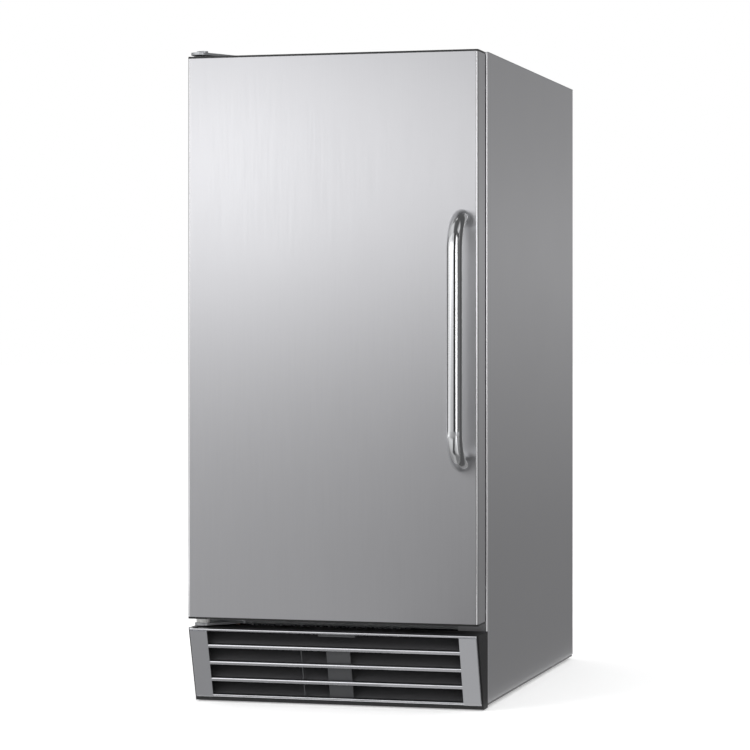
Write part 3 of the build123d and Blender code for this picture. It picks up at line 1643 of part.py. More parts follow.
with BuildPart() as water_valve:
    block(
        (valve_x[0], valve_x[1] + valve_tab),
        (back_seat - valve_plate, back_seat),
        (valve_z - 0.6 * valve_size, valve_z + 0.6 * valve_size),
    )
    block(
        valve_x,
        (back_seat - 1.1 * valve_size, back_seat),
        (valve_z - valve_size / 2, valve_z + valve_size / 2),
    )
    rod((fill_x, valve_back, valve_z), (0, 1, 0), inlet_radius, back_y + inlet_reach - valve_back)
    rod((fill_x, back_y, valve_z), (0, 1, 0), 0.6 * inlet_radius, inlet_reach, Mode.SUBTRACT)
    rod((fill_x, fill_y, valve_z), (0, 0, 1), fill_radius, valve_top - valve_z)
    rod((valve_x[1], back_seat - valve_size / 2, valve_z), (1, 0, 0), coil_radius, coil_length)

keep(water_valve, "water_valve")

# Cord gland in the rear cover
with BuildPart() as cord_gland:
    rod((gland_x, back_y, gland_z), (0, 1, 0), gland_flange, gland_reach)
    rod((gland_x, back_y, gland_z), (0, -1, 0), gland_radius, 3 * sheet)
    rod(
        (gland_x, back_y - 3 * sheet, gland_z),
        (0, 1, 0),
        gland_bore,
        3 * sheet + gland_reach,
        Mode.SUBTRACT,
    )
    rear_edges = cord_gland.edges().filter_by(GeomType.CIRCLE).group_by(Axis.Y)[-1]
    fillet(rear_edges.sort_by(SortBy.RADIUS)[-1], radius=gland_round)

keep(cord_gland, "cord_gland")
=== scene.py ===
"""Looks of the under-counter ice maker: finishes, small fittings and a plain studio, as an add-on."""

import json
import math

import bmesh
import bpy
from bpy.props import FloatProperty, FloatVectorProperty, PointerProperty
from mathutils import Matrix, Vector


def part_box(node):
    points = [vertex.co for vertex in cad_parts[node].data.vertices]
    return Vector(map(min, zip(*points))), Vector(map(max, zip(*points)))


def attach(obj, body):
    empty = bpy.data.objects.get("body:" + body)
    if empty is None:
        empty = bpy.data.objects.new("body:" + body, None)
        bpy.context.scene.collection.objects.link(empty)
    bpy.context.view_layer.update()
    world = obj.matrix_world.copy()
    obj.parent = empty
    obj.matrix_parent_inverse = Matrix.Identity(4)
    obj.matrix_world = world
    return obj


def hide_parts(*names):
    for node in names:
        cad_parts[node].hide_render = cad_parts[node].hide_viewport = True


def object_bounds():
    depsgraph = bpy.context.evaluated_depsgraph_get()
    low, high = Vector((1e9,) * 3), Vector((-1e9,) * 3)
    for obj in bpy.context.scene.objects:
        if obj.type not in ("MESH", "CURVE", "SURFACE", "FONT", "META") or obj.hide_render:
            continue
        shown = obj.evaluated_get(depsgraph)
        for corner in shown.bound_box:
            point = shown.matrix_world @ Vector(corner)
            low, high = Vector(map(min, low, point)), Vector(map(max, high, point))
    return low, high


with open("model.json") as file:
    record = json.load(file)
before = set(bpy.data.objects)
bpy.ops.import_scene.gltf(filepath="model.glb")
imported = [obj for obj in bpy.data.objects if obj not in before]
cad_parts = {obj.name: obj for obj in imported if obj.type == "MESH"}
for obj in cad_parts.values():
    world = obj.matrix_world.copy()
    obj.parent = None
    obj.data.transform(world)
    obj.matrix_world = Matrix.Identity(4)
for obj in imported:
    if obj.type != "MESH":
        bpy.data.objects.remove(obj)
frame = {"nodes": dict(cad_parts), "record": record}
cad_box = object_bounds()

bl_info = {
    "name": "Ice Maker Looks",
    "version": (1, 0, 0),
    "blender": (4, 5, 0),
    "location": "View3D > Sidebar > Ice Maker",
    "description": "Dresses the packed ice maker with its finishes, small fittings and a studio",
    "category": "Object",
}

MM = 0.001
MERGE = 0.001 * MM  # vertices closer than this are one
CREASE = math.radians(40)  # a fold sharper than this keeps a hard edge
CARD_BLUE = 1.01  # the cards' white is a trace cool


def linear(hex_colour):
    """Linear RGBA of an sRGB hex colour such as "#C8C9CB"."""
    parts = [int(hex_colour[at : at + 2], 16) / 255 for at in (1, 3, 5)]
    return tuple(c / 12.92 if c <= 0.04045 else ((c + 0.055) / 1.055) ** 2.4 for c in parts) + (1.0,)


def colour(name, hex_colour, description):
    """Colour property with its default written as sRGB hex."""
    return FloatVectorProperty(
        name=name, description=description, subtype="COLOR", size=4, min=0, max=1, default=linear(hex_colour)
    )


def length(name, millimetres, description):
    """Length property with its default written in millimetres."""
    return FloatProperty(
        name=name, description=description, default=millimetres * MM, min=0, unit="LENGTH", subtype="DISTANCE"
    )


def share(name, default, description):
    """Plain factor from 0 to 1."""
    return FloatProperty(name=name, description=description, default=default, min=0, max=1, subtype="FACTOR")


class IceMakerFinishes(bpy.types.PropertyGroup):
    """Colours and textures of the materials."""

    steel: colour("Stainless steel", "#C0C0C2", "Brushed sheet of the door and the cabinet sides")
    steel_roughness: share("Steel roughness", 0.33, "How far the brushing spreads a reflection")
    grain_width: length("Grain width", 0.9, "Width of one brushed streak, coarser than real so that it shows")
    grain_length: length("Grain length", 70.0, "Length of one brushed streak")
    top_steel: colour("Top panel", "#A9ABAE", "Plain sheet of the top")
    zinc: colour("Zinc plate", "#C4C6C8", "Galvanised sheet, brackets and screws")
    spangle: length("Zinc spangle", 9.0, "Size of one crystal in the galvanised sheet")
    black_paint: colour("Black paint", "#141415", "Baked paint on the base pan and the compressor")
    polished: colour("Polished steel", "#ECEDEE", "Handle tube")
    silver: colour("Satin trim", "#E6E7EA", "Satin plated frame of the grille")
    grey_enamel: colour("Grey enamel", "#A6A8AA", "Rail under the compartment opening")
    black_plastic: colour("Black ABS", "#19191A", "Grille body, door caps, fans and knob")
    grey_plastic: colour("Grey ABS", "#8A8C8E", "Control box, stripper and rake")
    # Painted light: the louvres' lighter grey stands for the light that falls into the grille.
    louvre: colour("Louvres", "#454547", "Inside of the grille, a shade lighter than its outer walls")
    louvre_lean: FloatProperty(
        name="Louvre lean",
        description="Tilt of the grille's face, 30 mm back over 95.5 mm of height",
        subtype="ANGLE",
        default=math.atan2(30.0, 95.5),
    )
    dark_plastic: colour("Dark grey ABS", "#4C4D4F", "Stay in the middle of the grille")
    white_plastic: colour("White liner", "#E9EBEC", "Moulded polystyrene tub and inner door panel")
    nylon: colour("White nylon", "#DEDDD6", "Drive head, valve and bushes")
    rubber: colour("Gasket", "#2A2B2C", "Soft PVC seal and the compressor's rubber feet")
    clear: colour("Clear bin", "#E6F0F3", "Clear polystyrene of the ice bin")
    aluminium: colour("Aluminium", "#C9CACB", "Ice mould and coil fins")
    copper: colour("Copper", "#C98A66", "Refrigerant lines and drier")
    motor: colour("Motor lacquer", "#7D8083", "Fan motors")
    foam: colour("Foam", "#E3CF9B", "Insulation between the walls")


class IceMakerFittings(bpy.types.PropertyGroup):
    """Sizes of the small fittings that are made here."""

    gasket_corner: length("Gasket corner", 17.0, "Outer corner radius of the seal")
    screw_head: length("Screw head", 2.2, "Height of a pan head above its seat")
    screw_shank: length("Screw shank", 2.0, "Radius of a screw below its head")
    recess_arm: length("Recess arm", 0.55, "Half width of one arm of a screw's cross recess")
    recess_reach: length("Recess reach", 2.2, "Half length of the cross recess")
    recess_depth: length("Recess depth", 1.2, "Depth of the cross recess")
    thread_pitch: length("Hose thread pitch", 2.2, "Rise of the hose thread in one turn")
    thread_depth: length("Hose thread depth", 0.5, "Height of the hose thread's ridge")
    mark_length: length("Dial mark", 3.0, "Length of a mark round the thermostat knob")
    mark_width: length("Dial mark width", 0.8, "Width of a mark round the thermostat knob")


class IceMakerStudio(bpy.types.PropertyGroup):
    """Camera, lamps and floor."""

    camera_place: FloatVectorProperty(
        name="Camera",
        description="Camera position",
        subtype="TRANSLATION",
        default=(0.95423, -3.61602, 0.4678),
    )
    camera_yaw: FloatProperty(name="Yaw", description="Turn to the left", subtype="ANGLE", default=0.26302)
    lens: FloatProperty(name="Lens", description="Focal length in millimetres", default=132.8)
    shift_y: FloatProperty(name="Rise", description="Vertical lens shift", default=-0.05237)
    floor: colour("Floor", "#F4F4F4", "Pale floor")
    floor_glow: share("Floor glow", 0.38, "Light of its own that keeps the floor white round the shadow")
    fill: share("Fill", 0.75, "Level of the soft light from all round")


def settings():
    """The add-on's properties in the open scene."""
    scene = bpy.context.scene
    return scene.ice_maker_finishes, scene.ice_maker_fittings, scene.ice_maker_studio


def add(tree, kind, sockets=None, **values):
    """Adds one node, sets its values, and fills its sockets from constants or from other nodes' outputs."""
    node = tree.nodes.new(kind)
    for name, value in values.items():
        setattr(node, name, value)
    for name, source in (sockets or {}).items():
        if isinstance(source, bpy.types.NodeSocket):
            tree.links.new(source, node.inputs[name])
        else:
            node.inputs[name].default_value = source
    return node


def new_material(name, sockets):
    """Node material with one shader joined to its output and the shader's constants set."""
    made = bpy.data.materials.new(name)
    made.use_nodes = True
    tree = made.node_tree
    tree.nodes.clear()
    shader = add(tree, "ShaderNodeBsdfPrincipled", sockets)
    add(tree, "ShaderNodeOutputMaterial", {"Surface": shader.outputs["BSDF"]})
    return made, tree, shader


def shade(tint, factor):
    """The same colour, darker or lighter by a factor."""
    return tuple(min(1.0, factor * part) for part in tint[:3]) + (1.0,)


def brushed_steel(name, tint, roughness, grain, run, turn=(0, 0, 0)):
    """Rolled stainless sheet brushed along one direction: fine streaks, and folds painted paler as a
    highlight, with a smoother shine.
    """
    streak_tone, streak_rough, cloud_rough = 0.035, 0.03, 0.03
    cloud_size, scratch_depth = 160 * MM, 0.05 * MM
    # The folds get a paler tint, a painted highlight, and a lower roughness.
    painted_fold_tint, fold_rough = linear("#F4F4F5"), 0.1
    fold_start, fold_full = 0.05, 0.25  # product of the normal's X and Y, which is 0 on a flat sheet
    made, tree, shader = new_material(name, {"Metallic": 1.0, "Base Color": tint})
    place = add(tree, "ShaderNodeTexCoord")
    streak_place = add(
        tree,
        "ShaderNodeMapping",
        {"Vector": place.outputs["Object"], "Rotation": turn, "Scale": (1 / grain, 1 / grain, 1 / run)},
    )
    streaks = add(
        tree, "ShaderNodeTexNoise", {"Vector": streak_place.outputs["Vector"], "Scale": 1.0, "Detail": 3.0}
    )
    cloud = add(
        tree,
        "ShaderNodeTexNoise",
        {"Vector": place.outputs["Object"], "Scale": 1 / cloud_size, "Detail": 2.0},
    )
    tone = add(
        tree,
        "ShaderNodeMix",
        {
            0: streaks.outputs["Fac"],
            6: shade(tint, 1 - streak_tone),
            7: shade(tint, 1 + streak_tone),
        },
        data_type="RGBA",
    )
    bent = add(tree, "ShaderNodeSeparateXYZ", {"Vector": place.outputs["Normal"]})
    both = add(tree, "ShaderNodeMath", {0: bent.outputs["X"], 1: bent.outputs["Y"]}, operation="MULTIPLY")
    size = add(tree, "ShaderNodeMath", {0: both.outputs["Value"]}, operation="ABSOLUTE")
    fold = add(
        tree,
        "ShaderNodeMapRange",
        {"Value": size.outputs["Value"], "From Min": fold_start, "From Max": fold_full},
    )
    # Painted highlight: the folds are mixed towards the paler tint.
    fold_highlight = add(
        tree,
        "ShaderNodeMix",
        {0: fold.outputs["Result"], 6: tone.outputs[2], 7: painted_fold_tint},
        data_type="RGBA",
    )
    tree.links.new(fold_highlight.outputs[2], shader.inputs["Base Color"])
    spread = add(
        tree,
        "ShaderNodeMapRange",
        {
            "Value": streaks.outputs["Fac"],
            "From Min": 0.25,
            "From Max": 0.75,
            "To Min": roughness - streak_rough,
            "To Max": roughness + streak_rough,
        },
    )
    wear = add(
        tree,
        "ShaderNodeMath",
        {0: cloud.outputs["Fac"], 1: cloud_rough, 2: spread.outputs["Result"]},
        operation="MULTIPLY_ADD",
    )
    rough = add(tree, "ShaderNodeMix", {0: fold.outputs["Result"], 2: wear.outputs["Value"], 3: fold_rough})
    tree.links.new(rough.outputs[0], shader.inputs["Roughness"])
    bump = add(
        tree,
        "ShaderNodeBump",
        {"Height": streaks.outputs["Fac"], "Strength": 0.06, "Distance": scratch_depth},
    )
    tree.links.new(bump.outputs["Normal"], shader.inputs["Normal"])
    return made


def plain_metal(name, tint, roughness, mottle, depth=0.0):
    """Bare or plated metal with a cloudy, slightly uneven shine."""
    unevenness = 0.25  # share of the roughness
    made, tree, shader = new_material(name, {"Metallic": 1.0, "Base Color": tint})
    place = add(tree, "ShaderNodeTexCoord")
    cloud = add(
        tree, "ShaderNodeTexNoise", {"Vector": place.outputs["Object"], "Scale": 1 / mottle, "Detail": 4.0}
    )
    spread = add(
        tree,
        "ShaderNodeMapRange",
        {
            "Value": cloud.outputs["Fac"],
            "From Min": 0.3,
            "From Max": 0.7,
            "To Min": (1 - unevenness) * roughness,
            "To Max": (1 + unevenness) * roughness,
        },
    )
    tree.links.new(spread.outputs["Result"], shader.inputs["Roughness"])
    if depth:
        bump = add(
            tree, "ShaderNodeBump", {"Height": cloud.outputs["Fac"], "Strength": 0.3, "Distance": depth}
        )
        tree.links.new(bump.outputs["Normal"], shader.inputs["Normal"])
    return made


def galvanised(name, tint, crystal):
    """Hot-dip zinc: flat crystals a few millimetres wide, each with its own grey and shine."""
    darkest, least_rough, most_rough = 0.86, 0.32, 0.46
    made, tree, shader = new_material(name, {"Metallic": 1.0})
    place = add(tree, "ShaderNodeTexCoord")
    cells = add(tree, "ShaderNodeTexVoronoi", {"Vector": place.outputs["Object"], "Scale": 1 / crystal})
    grey = add(tree, "ShaderNodeSeparateColor", {"Color": cells.outputs["Color"]})
    tone = add(
        tree,
        "ShaderNodeMix",
        {0: grey.outputs["Red"], 6: shade(tint, darkest), 7: tint},
        data_type="RGBA",
    )
    tree.links.new(tone.outputs[2], shader.inputs["Base Color"])
    spread = add(
        tree,
        "ShaderNodeMapRange",
        {"Value": grey.outputs["Green"], "To Min": least_rough, "To Max": most_rough},
    )
    tree.links.new(spread.outputs["Result"], shader.inputs["Roughness"])
    return made


def moulded(name, tint, roughness, grit, depth, ior=1.5, fleck=0.06):
    """Moulded plastic or baked paint: a fine even grit, coarser than real, that breaks up the shine."""
    unevenness = 0.05
    made, tree, shader = new_material(name, {"IOR": ior})
    place = add(tree, "ShaderNodeTexCoord")
    grain = add(
        tree, "ShaderNodeTexNoise", {"Vector": place.outputs["Object"], "Scale": 1 / grit, "Detail": 2.0}
    )
    spread = add(
        tree,
        "ShaderNodeMapRange",
        {
            "Value": grain.outputs["Fac"],
            "From Min": 0.3,
            "From Max": 0.7,
            "To Min": roughness - unevenness,
            "To Max": roughness + unevenness,
        },
    )
    tree.links.new(spread.outputs["Result"], shader.inputs["Roughness"])
    tone = add(
        tree,
        "ShaderNodeMix",
        {
            0: grain.outputs["Fac"],
            6: shade(tint, 1 - fleck),
            7: shade(tint, 1 + fleck),
        },
        data_type="RGBA",
    )
    tree.links.new(tone.outputs[2], shader.inputs["Base Color"])
    bump = add(tree, "ShaderNodeBump", {"Height": grain.outputs["Fac"], "Strength": 0.12, "Distance": depth})
    tree.links.new(bump.outputs["Normal"], shader.inputs["Normal"])
    return made


def louvre_plastic(name, tint, louvre_light_tint, lean):
    """Matt black moulding whose louvres, behind the leaning face, are painted a lighter grey for the light
    that falls on them.
    """
    made = moulded(name, tint, 0.65, 0.7 * MM, 0.03 * MM, 1.53)
    tree = made.node_tree
    low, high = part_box("grille_body")
    normal = Vector((0, math.cos(lean), math.sin(lean)))
    face = normal.dot((0, low[1], high[2]))
    place = add(tree, "ShaderNodeTexCoord").outputs["Object"]
    depth = add(tree, "ShaderNodeVectorMath", {0: place, 1: normal}, operation="DOT_PRODUCT")
    behind = add(
        tree,
        "ShaderNodeMapRange",
        {"Value": depth.outputs["Value"], "From Min": face + 1.0 * MM, "From Max": face + 2.5 * MM},
    )
    parts = add(tree, "ShaderNodeSeparateXYZ", {"Vector": place})
    across = add(tree, "ShaderNodeMath", {0: parts.outputs["X"]}, operation="ABSOLUTE")
    between = add(
        tree,
        "ShaderNodeMapRange",
        {"Value": across.outputs["Value"], "From Min": high[0] - 1.0 * MM, "From Max": high[0] - 2.0 * MM},
    )
    inner = add(
        tree,
        "ShaderNodeMath",
        {0: behind.outputs["Result"], 1: between.outputs["Result"]},
        operation="MULTIPLY",
    )
    shader = next(node for node in tree.nodes if node.type == "BSDF_PRINCIPLED")
    outer = shader.inputs["Base Color"].links[0].from_socket
    # Painted light: the louvres behind the face take the lighter grey.
    tone = add(tree, "ShaderNodeMix", {0: inner.outputs["Value"], 6: outer, 7: louvre_light_tint}, data_type="RGBA")
    tree.links.new(tone.outputs[2], shader.inputs["Base Color"])
    return made


def clear_plastic(name, tint):
    """Clear moulded polystyrene: see-through with a slight haze and a cool tint."""
    haze_size, least_rough, most_rough = 25 * MM, 0.04, 0.16
    made, tree, shader = new_material(name, {"Base Color": tint, "IOR": 1.59, "Transmission Weight": 0.92})
    place = add(tree, "ShaderNodeTexCoord")
    haze = add(
        tree, "ShaderNodeTexNoise", {"Vector": place.outputs["Object"], "Scale": 1 / haze_size, "Detail": 3.0}
    )
    spread = add(
        tree,
        "ShaderNodeMapRange",
        {"Value": haze.outputs["Fac"], "To Min": least_rough, "To Max": most_rough},
    )
    tree.links.new(spread.outputs["Result"], shader.inputs["Roughness"])
    return made


def finish_of(name):
    """One of the object's materials, made the first time that it is asked for."""
    if name in bpy.data.materials:
        return bpy.data.materials[name]
    look = settings()[0]
    grain, flat_turn = (look.grain_width, look.grain_length), (math.radians(90), 0, 0)
    abs_grit, abs_depth, abs_ior = 0.7 * MM, 0.03 * MM, 1.53
    makers = {
        # Upright streaks: a soft grey mirror, drawn out up and down, with painted highlight lines at the
        # folds
        "brushed_stainless": (brushed_steel, look.steel, look.steel_roughness, *grain),
        # The same sheet lying flat, duller, with its streaks from front to back
        "rolled_top_sheet": (brushed_steel, look.top_steel, 0.4, *grain, flat_turn),
        # A patchwork of pale and darker crystals
        "galvanised_sheet": (galvanised, look.zinc, look.spangle),
        # Pale, cloudy, half-dull metal on small fittings
        "zinc_plate": (plain_metal, look.zinc, 0.4, 14 * MM),
        # A near mirror with hard highlights along the tube
        "polished_stainless": (plain_metal, look.polished, 0.11, 40 * MM),
        # A light silver that still mirrors the room, softly
        "satin_plating": (plain_metal, look.silver, 0.15, 30 * MM),
        # Smooth grey with a broad soft gloss
        "grey_enamel": (moulded, look.grey_enamel, 0.35, 0.9 * MM, 0.01 * MM),
        # Black with a slightly pebbled gloss
        "black_paint": (moulded, look.black_paint, 0.38, 0.9 * MM, 0.02 * MM),
        # Fine moulded texture: black with a dim grey sheen
        "black_abs": (moulded, look.black_plastic, 0.45, abs_grit, abs_depth, abs_ior),
        # The same black, more matt, and painted greyer on the louvres for the light that falls into the
        # grille
        "louvre_abs": (louvre_plastic, look.black_plastic, look.louvre, look.louvre_lean),
        # Plain mid grey with a dim sheen
        "grey_abs": (moulded, look.grey_plastic, 0.45, abs_grit, abs_depth, abs_ior),
        # A grey bar that stands out from the black behind it
        "dark_grey_abs": (moulded, look.dark_plastic, 0.45, abs_grit, abs_depth, abs_ior),
        # Clean cool white, glossy and almost without texture
        "white_polystyrene": (moulded, look.white_plastic, 0.28, 1.5 * MM, 0.003 * MM, 1.59, 0.01),
        # Warm white, dull, slightly waxy
        "white_nylon": (moulded, look.nylon, 0.5, 0.8 * MM, 0.03 * MM, 1.53),
        # Soft charcoal without highlights
        "soft_pvc": (moulded, look.rubber, 0.6, 0.6 * MM, 0.03 * MM, 1.52),
        # See-through with bright rims
        "clear_polystyrene": (clear_plastic, look.clear),
        # Grainy pale grey, as cast
        "cast_aluminium": (plain_metal, look.aluminium, 0.45, 1.2 * MM, 0.08 * MM),
        # Bright thin sheet
        "rolled_aluminium": (plain_metal, look.aluminium, 0.28, 12 * MM),
        # Warm reddish shine, a little clouded
        "drawn_copper": (plain_metal, look.copper, 0.25, 18 * MM),
        # Even grey with a soft gloss
        "motor_lacquer": (moulded, look.motor, 0.4, 1.0 * MM, 0.02 * MM),
        # Dull yellowish cells
        "rigid_foam": (moulded, look.foam, 0.9, 1.2 * MM, 0.3 * MM),
    }
    maker, *values = makers[name]
    return maker(name, *values)


def dress(finish, *nodes):
    """Gives CAD nodes one finish."""
    for name in nodes:
        slots = frame["nodes"][name].data.materials
        slots.clear()
        slots.append(finish_of(finish))


def make_piece(shape, name, body, slot, finish, *replaced):
    """Turns a bmesh into a smooth-shaded piece that rides on a body and stands for the CAD nodes named."""
    bmesh.ops.remove_doubles(shape, verts=shape.verts, dist=MERGE)
    bmesh.ops.recalc_face_normals(shape, faces=shape.faces)
    for face in shape.faces:
        face.smooth = True
    piece = bpy.data.objects.new(name, bpy.data.meshes.new(name))
    shape.to_mesh(piece.data)
    shape.free()
    piece.data.set_sharp_from_angle(angle=CREASE)
    piece.data.materials.append(finish_of(finish))
    bpy.context.collection.objects.link(piece)
    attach(piece, body)
    if replaced:
        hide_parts(*replaced)


def raise_face(shape, face, section):
    """Carries a face through a section of (inwards, outwards) points in metres, leaving a wall behind it."""
    inward, rise = 0.0, 0.0
    for next_inward, next_rise in section:
        bmesh.ops.inset_region(
            shape,
            faces=[face],
            thickness=next_inward - inward,
            depth=next_rise - rise,
            use_boundary=True,
            use_even_offset=True,
        )
        inward, rise = next_inward, next_rise


def solids_of(node):
    """Lowest and highest corner of each separate solid in a CAD node."""
    shape = bmesh.new()
    shape.from_mesh(frame["nodes"][node].data)
    bmesh.ops.remove_doubles(shape, verts=shape.verts, dist=10 * MERGE)
    boxes, seen = [], set()
    for start in shape.verts:
        if start in seen:
            continue
        seen.add(start)
        waiting, places = [start], []
        while waiting:
            vert = waiting.pop()
            places.append(vert.co.copy())
            for edge in vert.link_edges:
                other = edge.other_vert(vert)
                if other not in seen:
                    seen.add(other)
                    waiting.append(other)
        boxes.append((Vector(map(min, *places)), Vector(map(max, *places))))
    shape.free()
    return boxes


class ICEMAKER_OT_cabinet(bpy.types.Operator):
    """Finishes of the outer sheets, the insulation and the feet"""

    bl_idname = "ice_maker.cabinet"
    bl_label = "Cabinet"

    def execute(self, context):
        dress("brushed_stainless", "right_side_panel", "left_side_panel")
        dress("rolled_top_sheet", "top_panel")
        dress("galvanised_sheet", "machine_deck", "back_panel", "rear_cover", "fan_shroud")
        dress("zinc_plate", "rear_screws", "foot_nuts")
        dress("grey_enamel", "front_sill")
        dress("zinc_plate", "foot_front_left", "foot_front_right", "foot_rear_left", "foot_rear_right")
        dress("black_paint", "base_pan")
        dress("rigid_foam", "cabinet_foam", "door_foam")
        return {"FINISHED"}


class ICEMAKER_OT_door(bpy.types.Operator):
    """Finishes of the door, its seal and its handle"""

    bl_idname = "ice_maker.door"
    bl_label = "Door"

    def execute(self, context):
        dress("brushed_stainless", "door_skin")
        dress("black_abs", "door_top_cap", "door_bottom_cap")
        dress("white_polystyrene", "door_liner")
        dress("soft_pvc", "door_gasket")
        dress("polished_stainless", "door_handle")
        dress("zinc_plate", "handle_screws")
        dress("white_nylon", "hinge_bushes")
        return {"FINISHED"}


class ICEMAKER_OT_gasket(bpy.types.Operator):
    """Hollow bellows seal round the inner door panel, with its fixing flange, folds and magnet tube"""

    bl_idname = "ice_maker.gasket"
    bl_label = "Gasket"

    # Points in millimetres: inwards from the outer edge, and outwards from the door
    SECTION = (
        *((0.0, 1.3), (2.6, 1.7), (3.2, 3.6), (1.0, 4.6), (1.0, 5.4), (3.4, 6.6), (3.2, 7.8), (0.9, 8.6)),
        *((0.5, 11.9), (1.3, 12.7), (12.7, 12.7), (13.5, 11.9), (13.1, 8.6), (10.8, 7.8), (10.6, 6.6)),
        *((13.0, 5.4), (13.0, 4.6), (10.8, 3.6), (11.4, 1.7), (14.0, 1.3), (14.0, 0.0)),
    )

    def execute(self, context):
        fit = settings()[1]
        low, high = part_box("door_gasket")
        shape = bmesh.new()
        outline = ((low[0], low[2]), (low[0], high[2]), (high[0], high[2]), (high[0], low[2]))
        ring = [shape.verts.new((x, low[1], z)) for x, z in outline]
        shape.faces.new(ring)
        bmesh.ops.bevel(
            shape,
            geom=ring,
            offset=fit.gasket_corner,
            segments=8,
            profile=0.5,
            affect="VERTICES",
            material=-1,
        )
        face = next(iter(shape.faces))
        face.normal_update()
        if face.normal.y < 0:
            face.normal_flip()
        raise_face(shape, face, [(inward * MM, rise * MM) for inward, rise in self.SECTION])
        bmesh.ops.delete(shape, geom=[face], context="FACES_ONLY")
        bmesh.ops.bridge_loops(shape, edges=[edge for edge in shape.edges if edge.is_boundary])
        make_piece(shape, "bellows_gasket", "door", "gasket_rubber", "soft_pvc", "door_gasket")
        return {"FINISHED"}


class ICEMAKER_OT_screws(bpy.types.Operator):
    """Pan-head screws with cross recesses at the hinges and round the back panels"""

    bl_idname = "ice_maker.screws"
    bl_label = "Screws"

    SIDES = 24
    TURN = math.radians(37)  # from one screw's recess to the next
    TAPER = 0.7  # floor of a recess against its mouth
    # Shares of the radius inwards from the rim, and of the head's height above its seat
    DOME = ((0.0, 0.0), (0.0, 0.35), (0.1, 0.7), (0.25, 0.92), (0.38, 1.0), (0.42, 1.0))

    def execute(self, context):
        middle = (cad_box[0][2] + cad_box[1][2]) / 2
        back, up, front = Vector((0, 1, 0)), Vector((0, 0, 1)), Vector((0, -1, 0))
        rear = [(low, high, back) for low, high in solids_of("rear_screws")]
        hinge = [(low, high, up if low.z > middle else front) for low, high in solids_of("hinge_screws")]
        for node, screws in (("rear_screws", rear), ("hinge_screws", hinge)):
            shape = bmesh.new()
            single = bpy.data.meshes.new("screw")
            for number, (low, high, outward) in enumerate(screws):
                self.make_screw(single, low, high, outward, self.TURN * number)
                shape.from_mesh(single)
            bpy.data.meshes.remove(single)
            make_piece(shape, "recessed_" + node, "cabinet", "zinc_steel", "zinc_plate", node)
        return {"FINISHED"}

    def make_screw(self, mesh, low, high, outward, turn):
        """One screw in a solid's box: shank, domed head and a recess turned its own way."""
        fit = settings()[1]
        shape = bmesh.new()
        size = high - low
        reach = abs(size.dot(outward))
        radius = max(size) / 2 if max(size) > reach else sorted(size)[1] / 2
        head, flare = fit.screw_head, fit.screw_shank - radius
        made = bmesh.ops.create_circle(shape, cap_ends=True, segments=self.SIDES, radius=fit.screw_shank)
        face = made["verts"][0].link_faces[0]
        seat = reach - head
        dome = [(flare + inward * radius, seat + rise * head) for inward, rise in self.DOME]
        raise_face(shape, face, [(0, seat), *dome])
        self.cut_recess(shape, face, fit)
        rim = [edge for edge in shape.edges if edge.is_boundary]
        bmesh.ops.holes_fill(shape, edges=rim, sides=self.SIDES)
        foot = (low + high) / 2 - outward * reach / 2
        place = Matrix.Translation(foot) @ outward.to_track_quat("Z", "Y").to_matrix().to_4x4()
        bmesh.ops.transform(shape, matrix=place @ Matrix.Rotation(turn, 4, "Z"), verts=shape.verts)
        shape.to_mesh(mesh)
        shape.free()

    def cut_recess(self, shape, face, fit):
        """Draws a head's top face out into a cross and sinks it."""
        arm, reach = fit.recess_arm, fit.recess_reach
        quarter = [(reach, 0), (reach, arm), (0.5 * reach, arm), (arm, arm), (arm, 0.5 * reach), (arm, reach)]
        for vert in face.verts:
            step = round(math.atan2(vert.co.y, vert.co.x) / math.tau * self.SIDES) % self.SIDES
            quarters, corner = divmod(step, len(quarter))
            vert.co.x, vert.co.y = Matrix.Rotation(math.radians(90) * quarters, 2) @ Vector(quarter[corner])
        sunk = bmesh.ops.extrude_face_region(shape, geom=[face])["geom"]
        floor = [item for item in sunk if isinstance(item, bmesh.types.BMVert)]
        bmesh.ops.delete(shape, geom=[face], context="FACES_ONLY")
        bmesh.ops.translate(shape, verts=floor, vec=(0, 0, -fit.recess_depth))
        bmesh.ops.scale(shape, verts=floor, vec=(self.TAPER, self.TAPER, 1))


class ICEMAKER_OT_hinges(bpy.types.Operator):
    """Finishes of the hinge brackets, pins, screws and plugs"""

    bl_idname = "ice_maker.hinges"
    bl_label = "Hinges"

    def execute(self, context):
        dress("zinc_plate", "top_hinge_bracket", "bottom_hinge_bracket")
        dress("zinc_plate", "hinge_pins", "hinge_screws", "hinge_plugs")
        return {"FINISHED"}


class ICEMAKER_OT_grille(bpy.types.Operator):
    """Finishes of the louvred grille under the door"""

    bl_idname = "ice_maker.grille"
    bl_label = "Grille"

    def execute(self, context):
        dress("satin_plating", "grille_trim")
        dress("louvre_abs", "grille_body")
        dress("dark_grey_abs", "grille_stay")
        return {"FINISHED"}


class ICEMAKER_OT_compartment(bpy.types.Operator):
    """Finishes of the tub, the bin, the ice-making module and the controls"""

    bl_idname = "ice_maker.compartment"
    bl_label = "Ice Compartment"

    def execute(self, context):
        dress("white_polystyrene", "liner", "evaporator_cover", "fill_cup")
        dress("clear_polystyrene", "ice_bin")
        dress("cast_aluminium", "ice_mould")
        dress("grey_abs", "ice_stripper", "ejector_rake", "control_box")
        dress("white_nylon", "icemaker_head", "icemaker_cover", "fill_tube")
        dress("zinc_plate", "icemaker_rail")
        dress("polished_stainless", "shutoff_arm")
        dress("black_abs", "thermostat_knob", "power_switch", "evaporator_fan")
        dress("rolled_aluminium", "evaporator_coil")
        dress("motor_lacquer", "evaporator_motor")
        return {"FINISHED"}


